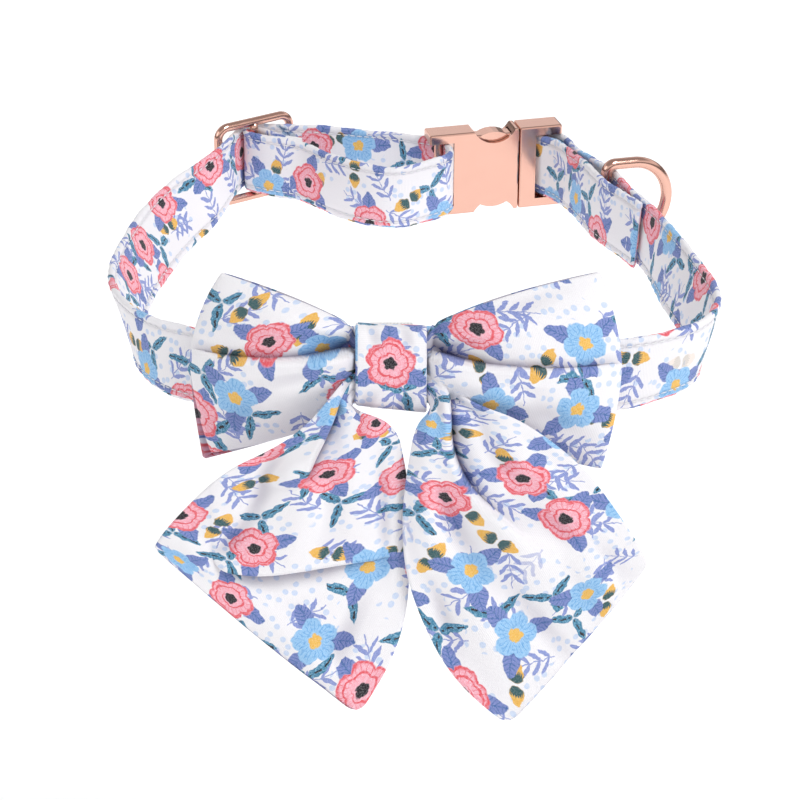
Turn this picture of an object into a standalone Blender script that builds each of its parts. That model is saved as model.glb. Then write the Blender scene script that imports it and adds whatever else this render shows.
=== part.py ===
"""Pet bow tie collar: a covered strap closed in a loop, a side release buckle, a slider,
a D-ring and a sailor bow with two wings, a knot band and two pointed tails.

The collar keeps its worn form. X runs to the wearer's left, Y to the back, Z up, and the origin
is the middle of the neck opening at half the strap's height. Sizes and tables are in millimetres,
and each piece is scaled to metres when its mesh is made.
"""
import math

import bmesh
import bpy
import numpy as np
from mathutils import Matrix, Vector

MM = 0.001

# Strap
STRAP_WIDTH = 25.4
STRAP_THICK = 2.2
STRAP_EDGE = 0.5
STRAP_STEP = 6.0
GAP = 0.3

# Buckle, in its own axes: length along the strap, depth away from the neck, height up
BUCKLE_CENTRE = (36.8, 89.0, 0.0)
BUCKLE_YAW = 14.0
BUCKLE_LENGTH = 54.0
BUCKLE_HEIGHT = 34.0
BUCKLE_THICK = 10.0
BUCKLE_SPLIT = 9.7
BUCKLE_WALL = 1.6
BUCKLE_ROUND = 0.7
SLOT_HEIGHT = 26.6
BAR_RADIUS = 1.6
BODY_BAR_AT = -22.5
BODY_SLOT = (-27.5, -17.2)
TONGUE_BAR_AT = 21.0
TONGUE_SLOT = (16.3, 27.5)
NOTCH_AT = -0.6
NOTCH_RADIUS = 9.5
NOTCH_DEPTH = 5.2
PRONG_TIP = -10.5
PRONG_WIDTH = 4.6
HEAD_RADIUS = 11.0
HEAD_BELOW = 1.2
HEAD_HEIGHT = 4.6

# Slider
SLIDER_CENTRE = (-57.9, 92.5, 2.1)
SLIDER_YAW = 214.0
SLIDER_LENGTH = 36.0
SLIDER_HEIGHT = 34.4
SLIDER_CORNER = 4.5
WIRE_RADIUS = 1.7

# D-ring
RING_BAR_CENTRE = (77.2, 44.0, 3.2)
RING_YAW = 21.0
RING_LEAN = 3.0
RING_WIRE = 2.15
RING_INSIDE = 26.6
RING_DEPTH = 26.5

# Bow, in its own axes: across, forward of the middle of the knot, and up the face
BOW_CENTRE = (-2.8, -104.9, 9.6)
BOW_TILT = 17.0
CLOTH = 1.6
KNOT_WIDTH = 22.6
KNOT_HEIGHT = 27.6
KNOT_DEPTH = 13.0
KNOT_ROUND = 3.6
HOLDER_WIDTH = 14.0
HOLDER_THICK = 1.2
HOLDER_DROP = -1.0

# The outer run of the strap, from behind the buckle body, through the slider and round the front
# to the buckle tongue: plan place, height of the middle line, and how far the top tips outwards.
NECK_ROWS = [
    # x, y, z, lean
    (7.5, 89.8, 0.0, 0.0),
    (-3.0, 93.2, 0.2, 0.0),
    (-17.0, 95.6, 0.6, 0.0),
    (-31.0, 97.4, 1.3, 0.0),
    (-44.5, 98.3, 1.7, 0.0),
    (-53.0, 98.7, 1.8, 0.0),
    (-58.9, 98.2, 1.8, 0.0),
    (-61.0, 97.5, 1.8, 0.0),
    (-62.5, 96.2, 1.8, 0.0),
    (-64.9, 90.5, 1.7, 0.0),
    (-67.8, 81.2, 1.5, 1.0),
    (-73.4, 70.0, -1.2, 9.0),
    (-84.0, 54.5, -5.6, 27.0),
    (-92.0, 32.7, -8.0, 29.0),
    (-96.5, 8.0, -8.5, 26.0),
    (-97.5, -24.0, -8.0, 21.0),
    (-92.0, -49.0, -6.0, 7.0),
    (-81.0, -67.5, -4.5, -4.0),
    (-66.0, -79.5, -3.0, -17.0),
    (-38.0, -92.2, 2.1, -18.0),
    (-14.0, -95.4, 5.6, -17.0),
    (8.0, -96.0, 6.0, -17.0),
    (32.0, -97.3, 5.4, -14.0),
    (54.0, -98.2, 3.7, -8.0),
    (71.0, -97.2, 3.0, -3.0),
    (86.0, -90.5, 3.0, 4.0),
    (97.5, -81.0, 3.0, 8.0),
    (103.0, -66.0, 3.0, 13.0),
    (102.0, -48.0, 3.0, 17.0),
    (95.6, -13.2, 3.0, 13.0),
    (90.0, 14.4, 3.0, 4.0),
    (86.0, 25.8, 3.0, 3.0),
    (83.3, 35.0, 3.0, 3.0),
    (80.6, 45.4, 3.0, 3.0),
    (75.6, 57.0, 2.4, 2.0),
    (71.6, 67.0, 1.8, 1.0),
    (68.0, 77.0, 1.0, 0.0),
    (66.4, 86.0, 0.2, 0.0),
    (62.8, 93.4, 0.0, 0.0),
]

# The strap's end that is folded back inside the neck, from the tongue's bar to its cut end
KEEPER_ROWS = [
    # x, y, z, lean
    (59.6, 87.4, 0.0, 0.0),
    (64.8, 76.0, 1.0, 0.0),
    (68.9, 62.0, 2.2, 2.0),
    (71.9, 50.0, 2.8, 3.0),
    (73.8, 42.8, 3.0, 3.0),
    (77.8, 33.0, 3.0, 3.0),
    (82.7, 23.5, 3.0, 3.0),
    (87.2, 13.6, 3.0, 4.0),
]

# The sewn end that lies outside the return run, from its cut end to the slider's middle bar
SEWN_ROWS = [
    # x, y, z, lean
    (-38.9, 84.2, 1.2, 0.0),
    (-47.4, 87.2, 1.5, 0.0),
]

# The return run of the adjuster, from the slider's middle bar to the buckle body's bar
RETURN_ROWS = [
    # x, y, z, lean
    (-49.0, 84.8, 1.5, 0.0),
    (-40.0, 81.5, 1.2, 0.0),
    (-31.5, 74.4, 0.6, 0.0),
    (-21.8, 65.6, 0.2, 0.0),
    (-13.0, 60.2, 0.0, 0.0),
    (-0.8, 57.2, 0.0, 0.0),
    (11.2, 64.0, 0.0, 0.0),
    (18.2, 70.2, 0.0, 0.0),
    (19.8, 76.5, 0.0, 0.0),
]

# Each wing: side, how far it reaches at its middle, half heights at the outer end above and
# below, how much the outer corners are cut back above and below, how far it curls back, how far
# it sits forward, and how much lower and farther out the back layer is than the front one.
WING_SIZES = {
    "wing_left": dict(side=-1, reach=64.5, above=31.4, below=31.8, cut_above=11.0, cut_below=6.6,
                      curl=14.0, forward=0.4, back_lower=2.4, back_wider=5.0),
    "wing_right": dict(side=1, reach=72.5, above=32.0, below=34.3, cut_above=7.5, cut_below=6.0,
                       curl=0.0, forward=0.9, back_lower=0.0, back_wider=0.0),
}
WING_START = 1.2
WING_CLEAR = 14.0
WING_PINCH = 9.8
WING_FRONT_BULGE = 8.0
WING_BACK_BULGE = 2.4
WING_LAYER_GAP = 2.6
WING_CREASE_AT = 0.08
WING_CREASE_DEPTH = 3.2

# Each tail: where its inner edge and its outer edge are at each section, across and up, and how
# far forward it lies. The first two sections are inside the knot band.
TAIL_ROWS = {
    "tail_left": [
        # inner across, inner up, outer across, outer up, forward
        (-1.2, -9.8, -1.2, -1.5, 2.9),
        (-12.0, -10.0, -12.0, -1.5, 3.0),
        (-12.7, -12.6, -16.5, -5.0, 5.4),
        (-2.6, -16.2, -22.0, -11.0, 9.0),
        (3.4, -24.6, -34.0, -21.6, 10.3),
        (5.6, -39.0, -49.0, -29.6, 11.2),
        (5.7, -58.2, -62.5, -40.6, 11.6),
        (5.0, -75.2, -70.1, -48.6, 12.0),
        (-0.1, -92.9, -73.6, -53.1, 12.6),
        (-10.7, -111.2, -75.2, -55.9, 13.2),
    ],
    "tail_right": [
        (1.2, -9.8, 1.2, -1.5, 2.9),
        (12.0, -10.0, 12.0, -1.8, 3.0),
        (12.6, -12.4, 17.0, -4.0, 5.6),
        (9.1, -15.8, 24.0, -8.5, 9.5),
        (6.1, -24.9, 36.0, -12.9, 12.0),
        (3.9, -39.6, 51.9, -22.3, 14.0),
        (4.2, -59.2, 63.9, -33.8, 15.0),
        (8.5, -75.4, 73.4, -46.8, 15.6),
        (20.4, -97.9, 79.0, -55.9, 15.8),
        (37.4, -113.9, 81.0, -61.0, 16.0),
    ],
}
TAIL_STEP = 8.0
TAIL_PLEATS = 2.5
TAIL_PLEAT_DEPTH = 2.4
TAIL_END_BOW = 1.2


def unit(vectors):
    """Vectors scaled to length one."""
    return vectors / np.linalg.norm(vectors, axis=-1, keepdims=True)


def smooth_rows(rows, step, measured=3):
    """A natural cubic curve through the rows, by the chord length of the first measured columns.
    Every row is kept, and each span is cut into equal parts no longer than step."""
    knots = np.array(rows, dtype=float)
    chords = np.linalg.norm(np.diff(knots[:, :measured], axis=0), axis=1)
    count = len(knots)
    system = np.eye(count)
    right = np.zeros_like(knots)
    for i in range(1, count - 1):
        system[i, i - 1] = chords[i - 1]
        system[i, i] = 2.0 * (chords[i - 1] + chords[i])
        system[i, i + 1] = chords[i]
        right[i] = 6.0 * ((knots[i + 1] - knots[i]) / chords[i] - (knots[i] - knots[i - 1]) / chords[i - 1])
    bend = np.linalg.solve(system, right)
    parts = np.maximum(1, np.ceil(chords / step)).astype(int)
    span = np.repeat(np.arange(count - 1), parts)
    ahead = np.concatenate([np.arange(n) / n for n in parts])
    span = np.append(span, count - 2)
    ahead = np.append(ahead, 1.0)[:, None]
    back = 1.0 - ahead
    line = back * knots[span] + ahead * knots[span + 1]
    sag = (back ** 3 - back) * bend[span] + (ahead ** 3 - ahead) * bend[span + 1]
    return line + sag * chords[span][:, None] ** 2 / 6.0


def arc_rows(centre, radius, start, end, count, height):
    """Rows on an arc about an upright bar, angles in degrees from +X."""
    angles = np.radians(np.linspace(start, end, count))
    x = centre[0] + radius * np.cos(angles)
    y = centre[1] + radius * np.sin(angles)
    return [(a, b, height, 0.0) for a, b in zip(x, y)]


def strap_section():
    """The strap's cut section: across the width and through the thickness, with eased edges."""
    w = STRAP_WIDTH / 2.0
    t = STRAP_THICK / 2.0
    e = STRAP_EDGE
    return np.array([(-w, -t + e), (-w + e, -t), (w - e, -t), (w, -t + e),
                     (w, t - e), (w - e, t), (-w + e, t), (-w, t - e)])


def carry_section(line, section, side=1.0):
    """Sections carried along a line of (x, y, z, lean). A lean tips the top outwards of the neck,
    which is the right-hand side of the line, or the left-hand side where side is -1."""
    centre = line[:, :3]
    steps = unit(np.diff(centre, axis=0))
    along = unit(np.concatenate([steps[:1], steps[:-1] + steps[1:], steps[-1:]]))
    level = unit(np.stack([along[:, 1], -along[:, 0], np.zeros(len(line))], axis=1))
    lean = np.radians(line[:, 3:4]) * side
    across = np.cos(lean) * np.array([0.0, 0.0, 1.0]) + np.sin(lean) * level
    across = unit(across - (across * along).sum(axis=1, keepdims=True) * along)
    face = np.cross(along, across)
    return (centre[:, None, :] + section[None, :, 0, None] * across[:, None, :]
            + section[None, :, 1, None] * face[:, None, :])


def loft_faces(rings, corners, closed=False):
    """Quads between rings of corners, with an end cap at both ends unless it is closed."""
    faces = []
    last = rings if closed else rings - 1
    for i in range(last):
        j = (i + 1) % rings
        for k in range(corners):
            m = (k + 1) % corners
            faces.append((i * corners + k, i * corners + m, j * corners + m, j * corners + k))
    if not closed:
        faces.append(tuple(range(corners))[::-1])
        faces.append(tuple((rings - 1) * corners + k for k in range(corners)))
    return faces


def material(name, colour, roughness, metallic=0.0):
    """A plain surface of one colour."""
    made = bpy.data.materials.get(name) or bpy.data.materials.new(name)
    made.use_nodes = True
    shader = made.node_tree.nodes["Principled BSDF"]
    shader.inputs["Base Color"].default_value = (*colour, 1.0)
    shader.inputs["Roughness"].default_value = roughness
    shader.inputs["Metallic"].default_value = metallic
    return made


def printed_cotton():
    return material("printed_cotton", (0.86, 0.87, 0.90), 0.85)


def rose_gold():
    return material("rose_gold", (0.90, 0.60, 0.50), 0.25, 1.0)


def white_elastic():
    return material("white_elastic", (0.90, 0.90, 0.88), 0.9)


def add_piece(name, points, faces, finish, smooth=False, parent=None):
    """An object from millimetre points, with its faces turned outwards."""
    mesh = bpy.data.meshes.new(name)
    mesh.from_pydata((np.asarray(points).reshape(-1, 3) * MM).tolist(), [], faces)
    build = bmesh.new()
    build.from_mesh(mesh)
    bmesh.ops.recalc_face_normals(build, faces=build.faces)
    build.to_mesh(mesh)
    build.free()
    mesh.materials.append(finish)
    if smooth:
        mesh.shade_smooth()
        mesh.set_sharp_from_angle(angle=math.radians(50.0))
    piece = bpy.data.objects.new(name, mesh)
    bpy.context.collection.objects.link(piece)
    if parent is not None:
        piece.parent = parent
    return piece


def strap_piece(name, line, side=1.0):
    """A run of covered strap along a line."""
    rings = carry_section(np.asarray(line), strap_section(), side)
    return add_piece(name, rings, loft_faces(len(rings), rings.shape[1]), printed_cotton(), smooth=True)


def sheet_piece(name, grid, thickness):
    """A cloth wall of one thickness about a grid of points."""
    du = np.gradient(grid, axis=0)
    dv = np.gradient(grid, axis=1)
    out = unit(np.cross(du, dv)) * thickness / 2.0
    rows, cols = grid.shape[:2]
    points = np.concatenate([(grid + out).reshape(-1, 3), (grid - out).reshape(-1, 3)])
    index = np.arange(rows * cols).reshape(rows, cols)
    other = index + rows * cols
    faces = []
    for i in range(rows - 1):
        for j in range(cols - 1):
            faces.append((index[i, j], index[i, j + 1], index[i + 1, j + 1], index[i + 1, j]))
            faces.append((other[i, j], other[i + 1, j], other[i + 1, j + 1], other[i, j + 1]))
    rim = list(index[0, :]) + list(index[1:, -1]) + list(index[-1, -2::-1]) + list(index[-2:0:-1, 0])
    for k, here in enumerate(rim):
        there = rim[(k + 1) % len(rim)]
        faces.append((there, here, here + rows * cols, there + rows * cols))
    faces = [tuple(int(v) for v in face) for face in faces]
    return add_piece(name, points, faces, printed_cotton(), smooth=True)


def round_section(radius, sides):
    """A round wire's section."""
    turn = np.arange(sides) * 2.0 * math.pi / sides
    return np.stack([radius * np.cos(turn), radius * np.sin(turn)], axis=1)


def wire_rings(path, flat, section, closed=False):
    """Rings of a section carried along a flat path, with flat as the path's plane normal."""
    if closed:
        along = unit(np.roll(path, -1, axis=0) - np.roll(path, 1, axis=0))
    else:
        along = unit(np.gradient(path, axis=0))
    normal = np.broadcast_to(np.asarray(flat, dtype=float), path.shape)
    inward = np.cross(along, normal)
    return (path[:, None, :] + section[None, :, 0, None] * inward[:, None, :]
            + section[None, :, 1, None] * normal[:, None, :])


def rounded_loop(width, height, corner, per_corner):
    """Points round a rectangle with round corners, in its own plane."""
    points = []
    for quarter, (sx, sy) in enumerate([(1, 1), (-1, 1), (-1, -1), (1, -1)]):
        for step in range(per_corner + 1):
            turn = math.radians(90.0 * quarter + 90.0 * step / per_corner)
            points.append((sx * (width / 2 - corner) + corner * math.cos(turn),
                           sy * (height / 2 - corner) + corner * math.sin(turn)))
    return np.array(points)


def apply_boolean(piece, cutter, operation):
    """The cutter joined to or cut from the piece, and then removed."""
    step = piece.modifiers.new(operation.lower(), "BOOLEAN")
    step.operation = operation
    step.solver = "EXACT"
    step.object = cutter
    bpy.context.view_layer.update()
    seen = piece.evaluated_get(bpy.context.evaluated_depsgraph_get())
    made = bpy.data.meshes.new_from_object(seen)
    piece.modifiers.clear()
    piece.data = made
    bpy.data.objects.remove(cutter)


def box_piece(name, low, high, finish, parent, round_by=0.0, segments=2):
    """A box between two corners in its parent's millimetres, with its edges rounded."""
    build = bmesh.new()
    bmesh.ops.create_cube(build, size=1.0)
    low = np.array(low, dtype=float)
    high = np.array(high, dtype=float)
    size = Vector((high - low) * MM)
    centre = Vector((high + low) / 2.0 * MM)
    bmesh.ops.transform(build, verts=build.verts, matrix=Matrix.LocRotScale(centre, None, size))
    if round_by > 0.0:
        bmesh.ops.bevel(build, geom=build.edges[:], offset=round_by * MM, segments=segments,
                        profile=0.5, affect="EDGES")
    mesh = bpy.data.meshes.new(name)
    build.to_mesh(mesh)
    build.free()
    mesh.materials.append(finish)
    piece = bpy.data.objects.new(name, mesh)
    bpy.context.collection.objects.link(piece)
    piece.parent = parent
    return piece


def upright_disc(name, x, z, radius, depth, parent, sides=32):
    """A round disc across the buckle's depth."""
    build = bmesh.new()
    bmesh.ops.create_cone(build, cap_ends=True, segments=sides, radius1=radius * MM,
                          radius2=radius * MM, depth=depth * MM)
    turn = Matrix.Translation(Vector((x, 0.0, z)) * MM) @ Matrix.Rotation(math.radians(90.0), 4, "X")
    bmesh.ops.transform(build, verts=build.verts, matrix=turn)
    mesh = bpy.data.meshes.new(name)
    build.to_mesh(mesh)
    build.free()
    piece = bpy.data.objects.new(name, mesh)
    bpy.context.collection.objects.link(piece)
    piece.parent = parent
    return piece


def round_bar(name, x, height, finish, parent, sides=14):
    """An upright round bar in the buckle's axes."""
    build = bmesh.new()
    bmesh.ops.create_cone(build, cap_ends=True, segments=sides, radius1=BAR_RADIUS * MM,
                          radius2=BAR_RADIUS * MM, depth=height * MM)
    bmesh.ops.translate(build, verts=build.verts, vec=Vector((x * MM, 0.0, 0.0)))
    mesh = bpy.data.meshes.new(name)
    build.to_mesh(mesh)
    build.free()
    mesh.materials.append(finish)
    piece = bpy.data.objects.new(name, mesh)
    bpy.context.collection.objects.link(piece)
    piece.parent = parent
    return piece


def guide(name, centre, yaw=0.0, tilt=0.0):
    """An empty that holds a group's place: yaw about Z, then tilt about its own X."""
    made = bpy.data.objects.new(name, None)
    made.location = Vector(centre) * MM
    made.rotation_euler = (math.radians(tilt), 0.0, math.radians(yaw))
    bpy.context.collection.objects.link(made)
    bpy.context.view_layer.update()
    return made


def buckle_point(along, depth=0.0):
    """A point of the buckle's middle plane in world millimetres."""
    turn = math.radians(BUCKLE_YAW)
    x = BUCKLE_CENTRE[0] + along * math.cos(turn) - depth * math.sin(turn)
    y = BUCKLE_CENTRE[1] + along * math.sin(turn) + depth * math.cos(turn)
    return x, y


def make_neck_strap():
    """The long outer run: from the buckle body's bar through the slider, round the neck and to the
    outer side of the tongue's bar."""
    turn = BAR_RADIUS + GAP + STRAP_THICK / 2.0
    first = arc_rows(buckle_point(BODY_BAR_AT), turn, 58.0, 66.0, 2, 0.0)
    last = arc_rows(buckle_point(TONGUE_BAR_AT), turn, 60.0, 90.0, 3, 0.0)
    return strap_piece("neck_strap", smooth_rows(first + NECK_ROWS + last, STRAP_STEP))


def make_adjuster_loop():
    """The sewn end, round the slider's middle bar, back to the buckle and round its bar."""
    fold = WIRE_RADIUS + GAP + STRAP_THICK / 2.0
    turn = BAR_RADIUS + GAP + STRAP_THICK / 2.0
    middle = arc_rows(SLIDER_CENTRE, fold, 50.0, 244.0, 10, 1.7)
    last = arc_rows(buckle_point(BODY_BAR_AT), turn, 3.0, 48.0, 4, 0.0)
    line = smooth_rows(SEWN_ROWS + middle + RETURN_ROWS + last, STRAP_STEP)
    return strap_piece("adjuster_loop", line, side=-1.0)


def make_ring_keeper():
    """The strap's other end: round the tongue's bar and back inside the neck, over the D-ring."""
    turn = BAR_RADIUS + GAP + STRAP_THICK / 2.0
    first = arc_rows(buckle_point(TONGUE_BAR_AT), turn, 104.0, 223.0, 7, 0.0)
    return strap_piece("ring_keeper", smooth_rows(first + KEEPER_ROWS, STRAP_STEP), side=-1.0)


def make_slider():
    """The slider: a round wire frame with a middle bar, as one casting."""
    yaw = math.radians(SLIDER_YAW)
    along = np.array([math.cos(yaw), math.sin(yaw), 0.0])
    up = np.array([0.0, 0.0, 1.0])
    face = np.cross(along, up)
    centre = np.array(SLIDER_CENTRE)
    loop = rounded_loop(SLIDER_LENGTH - 2 * WIRE_RADIUS, SLIDER_HEIGHT - 2 * WIRE_RADIUS, SLIDER_CORNER, 5)
    path = centre + loop[:, :1] * along + loop[:, 1:] * up
    rings = wire_rings(path, face, round_section(WIRE_RADIUS, 12), closed=True)
    frame = add_piece("slider", rings, loft_faces(len(rings), 12, closed=True), rose_gold(), smooth=True)
    half = SLIDER_HEIGHT / 2.0 - WIRE_RADIUS
    bar_path = centre + np.array([[0, 0, -half], [0, 0, 0], [0, 0, half]])
    bar_rings = wire_rings(bar_path, face, round_section(WIRE_RADIUS * 0.98, 12))
    bar = add_piece("slider_bar", bar_rings, loft_faces(3, 12), rose_gold())
    apply_boolean(frame, bar, "UNION")
    return frame


def make_buckle_body(place):
    """The half with the open sides: a shell for the tongue, with the strap's slot and bar."""
    half = BUCKLE_HEIGHT / 2.0
    deep = BUCKLE_THICK / 2.0
    body = box_piece("buckle_body", (-BUCKLE_LENGTH / 2, -deep, -half), (BUCKLE_SPLIT - GAP, deep, half),
                     rose_gold(), place, BUCKLE_ROUND)
    slot = SLOT_HEIGHT / 2.0
    cuts = [
        box_piece("slot_cut", (BODY_SLOT[0], -deep - 1, -slot), (BODY_SLOT[1], deep + 1, slot),
                  rose_gold(), place),
        box_piece("mouth_cut", (PRONG_TIP - 3.0, -deep + BUCKLE_WALL, -half + 1.8),
                  (BUCKLE_SPLIT + 1, deep - BUCKLE_WALL, half - 1.8), rose_gold(), place),
    ]
    for side in (-1, 1):
        centre_z = side * (half + NOTCH_RADIUS - NOTCH_DEPTH)
        cuts.append(upright_disc("notch_cut", NOTCH_AT, centre_z, NOTCH_RADIUS, 2 * deep + 2, place))
    for cut in cuts:
        apply_boolean(body, cut, "DIFFERENCE")
    bar = round_bar("body_bar", BODY_BAR_AT, SLOT_HEIGHT + 3.0, rose_gold(), place)
    apply_boolean(body, bar, "UNION")
    return body


def make_buckle_tongue(place):
    """The other half: strap slot and bar, a middle guide, and two prongs with round heads that catch
    in the notches."""
    half = BUCKLE_HEIGHT / 2.0
    deep = BUCKLE_THICK / 2.0
    inner = deep - BUCKLE_WALL - GAP
    tongue = box_piece("buckle_tongue", (BUCKLE_SPLIT, -deep, -half), (BUCKLE_LENGTH / 2, deep, half),
                       rose_gold(), place, BUCKLE_ROUND)
    slot = SLOT_HEIGHT / 2.0
    cut = box_piece("slot_cut", (TONGUE_SLOT[0], -deep - 1, -slot), (TONGUE_SLOT[1], deep + 1, slot),
                    rose_gold(), place)
    apply_boolean(tongue, cut, "DIFFERENCE")
    adds = [
        round_bar("tongue_bar", TONGUE_BAR_AT, SLOT_HEIGHT + 3.0, rose_gold(), place),
        box_piece("guide_blade", (PRONG_TIP + 2.0, -inner * 0.7, -3.0),
                  (BUCKLE_SPLIT + 1.0, inner * 0.7, 3.0), rose_gold(), place, 0.6),
    ]
    for side in (-1, 1):
        outer = half - 1.8 - 0.5
        low, high = sorted((side * (outer - PRONG_WIDTH), side * outer))
        adds.append(box_piece("prong", (PRONG_TIP, -inner, low), (BUCKLE_SPLIT + 1.0, inner, high),
                              rose_gold(), place, 0.8))
    for add in adds:
        apply_boolean(tongue, add, "UNION")
    for side in (-1, 1):
        head = upright_disc("prong_head", NOTCH_AT, side * (half - HEAD_BELOW - HEAD_RADIUS), HEAD_RADIUS,
                            2 * inner, place)
        low, high = sorted((side * (half - HEAD_BELOW - HEAD_HEIGHT), side * half))
        keep = box_piece("head_keep", (NOTCH_AT - 9.0, -deep, low), (NOTCH_AT + 9.0, deep, high),
                         rose_gold(), place)
        apply_boolean(head, keep, "INTERSECT")
        apply_boolean(tongue, head, "UNION")
    return tongue


def ring_axes():
    """The D-ring's bar direction and the way its bow points from the bar."""
    yaw = math.radians(RING_YAW)
    lean = math.radians(RING_LEAN)
    level = np.array([math.cos(yaw), math.sin(yaw), 0.0])
    bar = unit(math.sin(lean) * level + math.cos(lean) * np.array([0.0, 0.0, 1.0]))
    reach = unit(level - (level @ bar) * bar)
    return bar, reach


def make_d_ring():
    """A D of round wire: the straight bar lies in the keeper and the bow reaches outwards. Its
    origin is the middle of the bar, which it turns about."""
    bar, reach = ring_axes()
    half = RING_INSIDE / 2.0 + RING_WIRE
    flat_run = RING_DEPTH - half
    corner = RING_WIRE + 0.9
    outline = [(0.0, z) for z in np.linspace(-half + corner, half - corner, 5)]
    for turn in np.radians(np.linspace(165.0, 105.0, 4)):
        outline.append((corner + corner * math.cos(turn), half - corner + corner * math.sin(turn)))
    outline += [(x, half) for x in (corner + 1.0, (corner + flat_run) / 2 + 0.5)]
    for turn in np.radians(np.linspace(90.0, -90.0, 17)):
        outline.append((flat_run + half * math.cos(turn), half * math.sin(turn)))
    outline += [(x, -half) for x in ((corner + flat_run) / 2 + 0.5, corner + 1.0)]
    for turn in np.radians(np.linspace(255.0, 195.0, 4)):
        outline.append((corner + corner * math.cos(turn), -half + corner + corner * math.sin(turn)))
    outline = np.array(outline)
    path = outline[:, :1] * reach + outline[:, 1:] * bar
    rings = wire_rings(path, np.cross(reach, bar), round_section(RING_WIRE, 12), closed=True)
    ring = add_piece("d_ring", rings, loft_faces(len(rings), 12, closed=True), rose_gold(), smooth=True)
    ring.location = Vector(RING_BAR_CENTRE) * MM
    return ring


def bow_to_world(points):
    """Points in the bow's axes, across, forward and up, as world millimetres."""
    tilt = math.radians(BOW_TILT)
    across = np.array([1.0, 0.0, 0.0])
    forward = np.array([0.0, -math.cos(tilt), math.sin(tilt)])
    up = np.array([0.0, math.sin(tilt), math.cos(tilt)])
    points = np.asarray(points, dtype=float)
    return (np.array(BOW_CENTRE) + points[..., :1] * across + points[..., 1:2] * forward
            + points[..., 2:3] * up)


def band_piece(name, loop, width, thickness, centre, finish):
    """A flat band closed round a loop in the bow's forward and up plane."""
    w = width / 2.0
    t = thickness / 2.0
    e = min(0.35, t * 0.6)
    section = np.array([(t - e, -w), (t, -w + e), (t, w - e), (t - e, w),
                        (-t + e, w), (-t, w - e), (-t, -w + e), (-t + e, -w)])
    path = np.array(centre) + np.stack([np.zeros(len(loop)), loop[:, 0], loop[:, 1]], axis=1)
    rings = wire_rings(path, (1.0, 0.0, 0.0), section, closed=True)
    return add_piece(name, bow_to_world(rings), loft_faces(len(rings), len(section), closed=True), finish,
                     smooth=True)


def make_knot_band():
    """The band round the middle of the bow."""
    loop = rounded_loop(KNOT_DEPTH - CLOTH, KNOT_HEIGHT - CLOTH, KNOT_ROUND, 4)
    return band_piece("knot_band", loop, KNOT_WIDTH, CLOTH, (0.0, 0.0, 0.0), printed_cotton())


def make_bow_holder():
    """The plain elastic loop that holds the knot on the strap: behind the knot, round the strap."""
    inside = STRAP_THICK + 2.0 * GAP + 1.0
    tall = STRAP_WIDTH + 2.0 * GAP + 0.6
    loop = rounded_loop(inside + HOLDER_THICK, tall + HOLDER_THICK, 1.4, 3)
    behind = -(KNOT_DEPTH / 2.0 + GAP + HOLDER_THICK + inside / 2.0)
    centre = (0.0, behind, HOLDER_DROP)
    return band_piece("bow_holder", loop, HOLDER_WIDTH, HOLDER_THICK, centre, white_elastic())


def wing_grid(size, around, rows):
    """A wing's wall: from the knot along the front, round the outer fold and back to the knot.
    The height grows from the pinched knot to the outer end, and a crease runs along the front."""
    run = np.linspace(-1.0, 1.0, around)[:, None]
    tall = np.linspace(-1.0, 1.0, rows)[None, :]
    after = np.clip(run, 0.0, 1.0)
    stand_out = np.sqrt(np.clip(after / 0.12, 0.0, 1.0)) * (1.0 - after) * np.clip(-tall, 0.0, 1.0)
    part = 1.0 - np.abs(run) ** 1.7
    cut = np.where(tall > 0, size["cut_above"], size["cut_below"]) * np.abs(tall) ** 1.6
    reach = size["reach"] - cut + stand_out * size["back_wider"]
    across = WING_START + (reach - WING_START) * part
    spread = np.clip((across - WING_CLEAR) / (size["reach"] - WING_CLEAR), 0.0, 1.1)
    end_height = np.where(tall > 0, size["above"], size["below"] + stand_out * size["back_lower"])
    height = (WING_PINCH + (end_height - WING_PINCH) * spread ** 0.55) * tall
    closing = np.sqrt(np.clip(1.0 - part ** 16, 0.0, 1.0))
    puff = np.sin(math.pi * np.clip(spread, 0.0, 1.0) ** 0.9)
    crease = WING_CREASE_DEPTH * np.exp(-((tall - WING_CREASE_AT) / 0.13) ** 2)
    front = WING_FRONT_BULGE * puff * (1.0 - 0.94 * tall ** 2)
    front = front + (2.4 * (1.0 - 0.7 * tall ** 4) - crease * closing) * spread ** 0.5
    back = WING_LAYER_GAP * (1.0 - 0.4 * tall ** 4) + WING_BACK_BULGE * puff * (1.0 - 0.9 * tall ** 2)
    layer = np.where(run <= 0, front, -back) * closing
    middle = size["forward"] - 1.0 - size["curl"] * spread ** 1.5
    return np.stack(np.broadcast_arrays(size["side"] * across, middle + layer, height), axis=-1)


def make_wing(name):
    """One wing of the bow, a hollow loop of doubled cotton open above and below."""
    return sheet_piece(name, bow_to_world(wing_grid(WING_SIZES[name], 27, 13)), CLOTH)


def tail_grid(rows, across):
    """A tail's wall: each section runs from the outer edge to the inner edge, pleated below the
    knot and flat at the cut end, whose edge bows out a little."""
    line = smooth_rows(rows, TAIL_STEP, measured=5)
    inner = line[:, None, 0:2]
    outer = line[:, None, 2:4]
    v = np.concatenate([[0.0], np.cumsum(np.linalg.norm(np.diff(line, axis=0), axis=1))])
    v = (v / v[-1])[:, None]
    u = np.linspace(0.0, 1.0, across)[None, :]
    flat = outer * (1.0 - u[..., None]) + inner * u[..., None]
    end_bow = TAIL_END_BOW * v ** 8 * np.sin(math.pi * u)
    loose = np.clip((v - 0.08) / 0.12, 0.0, 1.0)
    pleat = TAIL_PLEAT_DEPTH * loose * np.exp(-v / 0.28) * np.cos(2.0 * math.pi * TAIL_PLEATS * u)
    belly = 2.0 * np.sin(math.pi * u) * np.sin(math.pi * v) * loose
    forward = line[:, None, 4] + pleat + belly
    return np.stack([flat[..., 0], forward, flat[..., 1] - end_bow], axis=-1)


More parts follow.
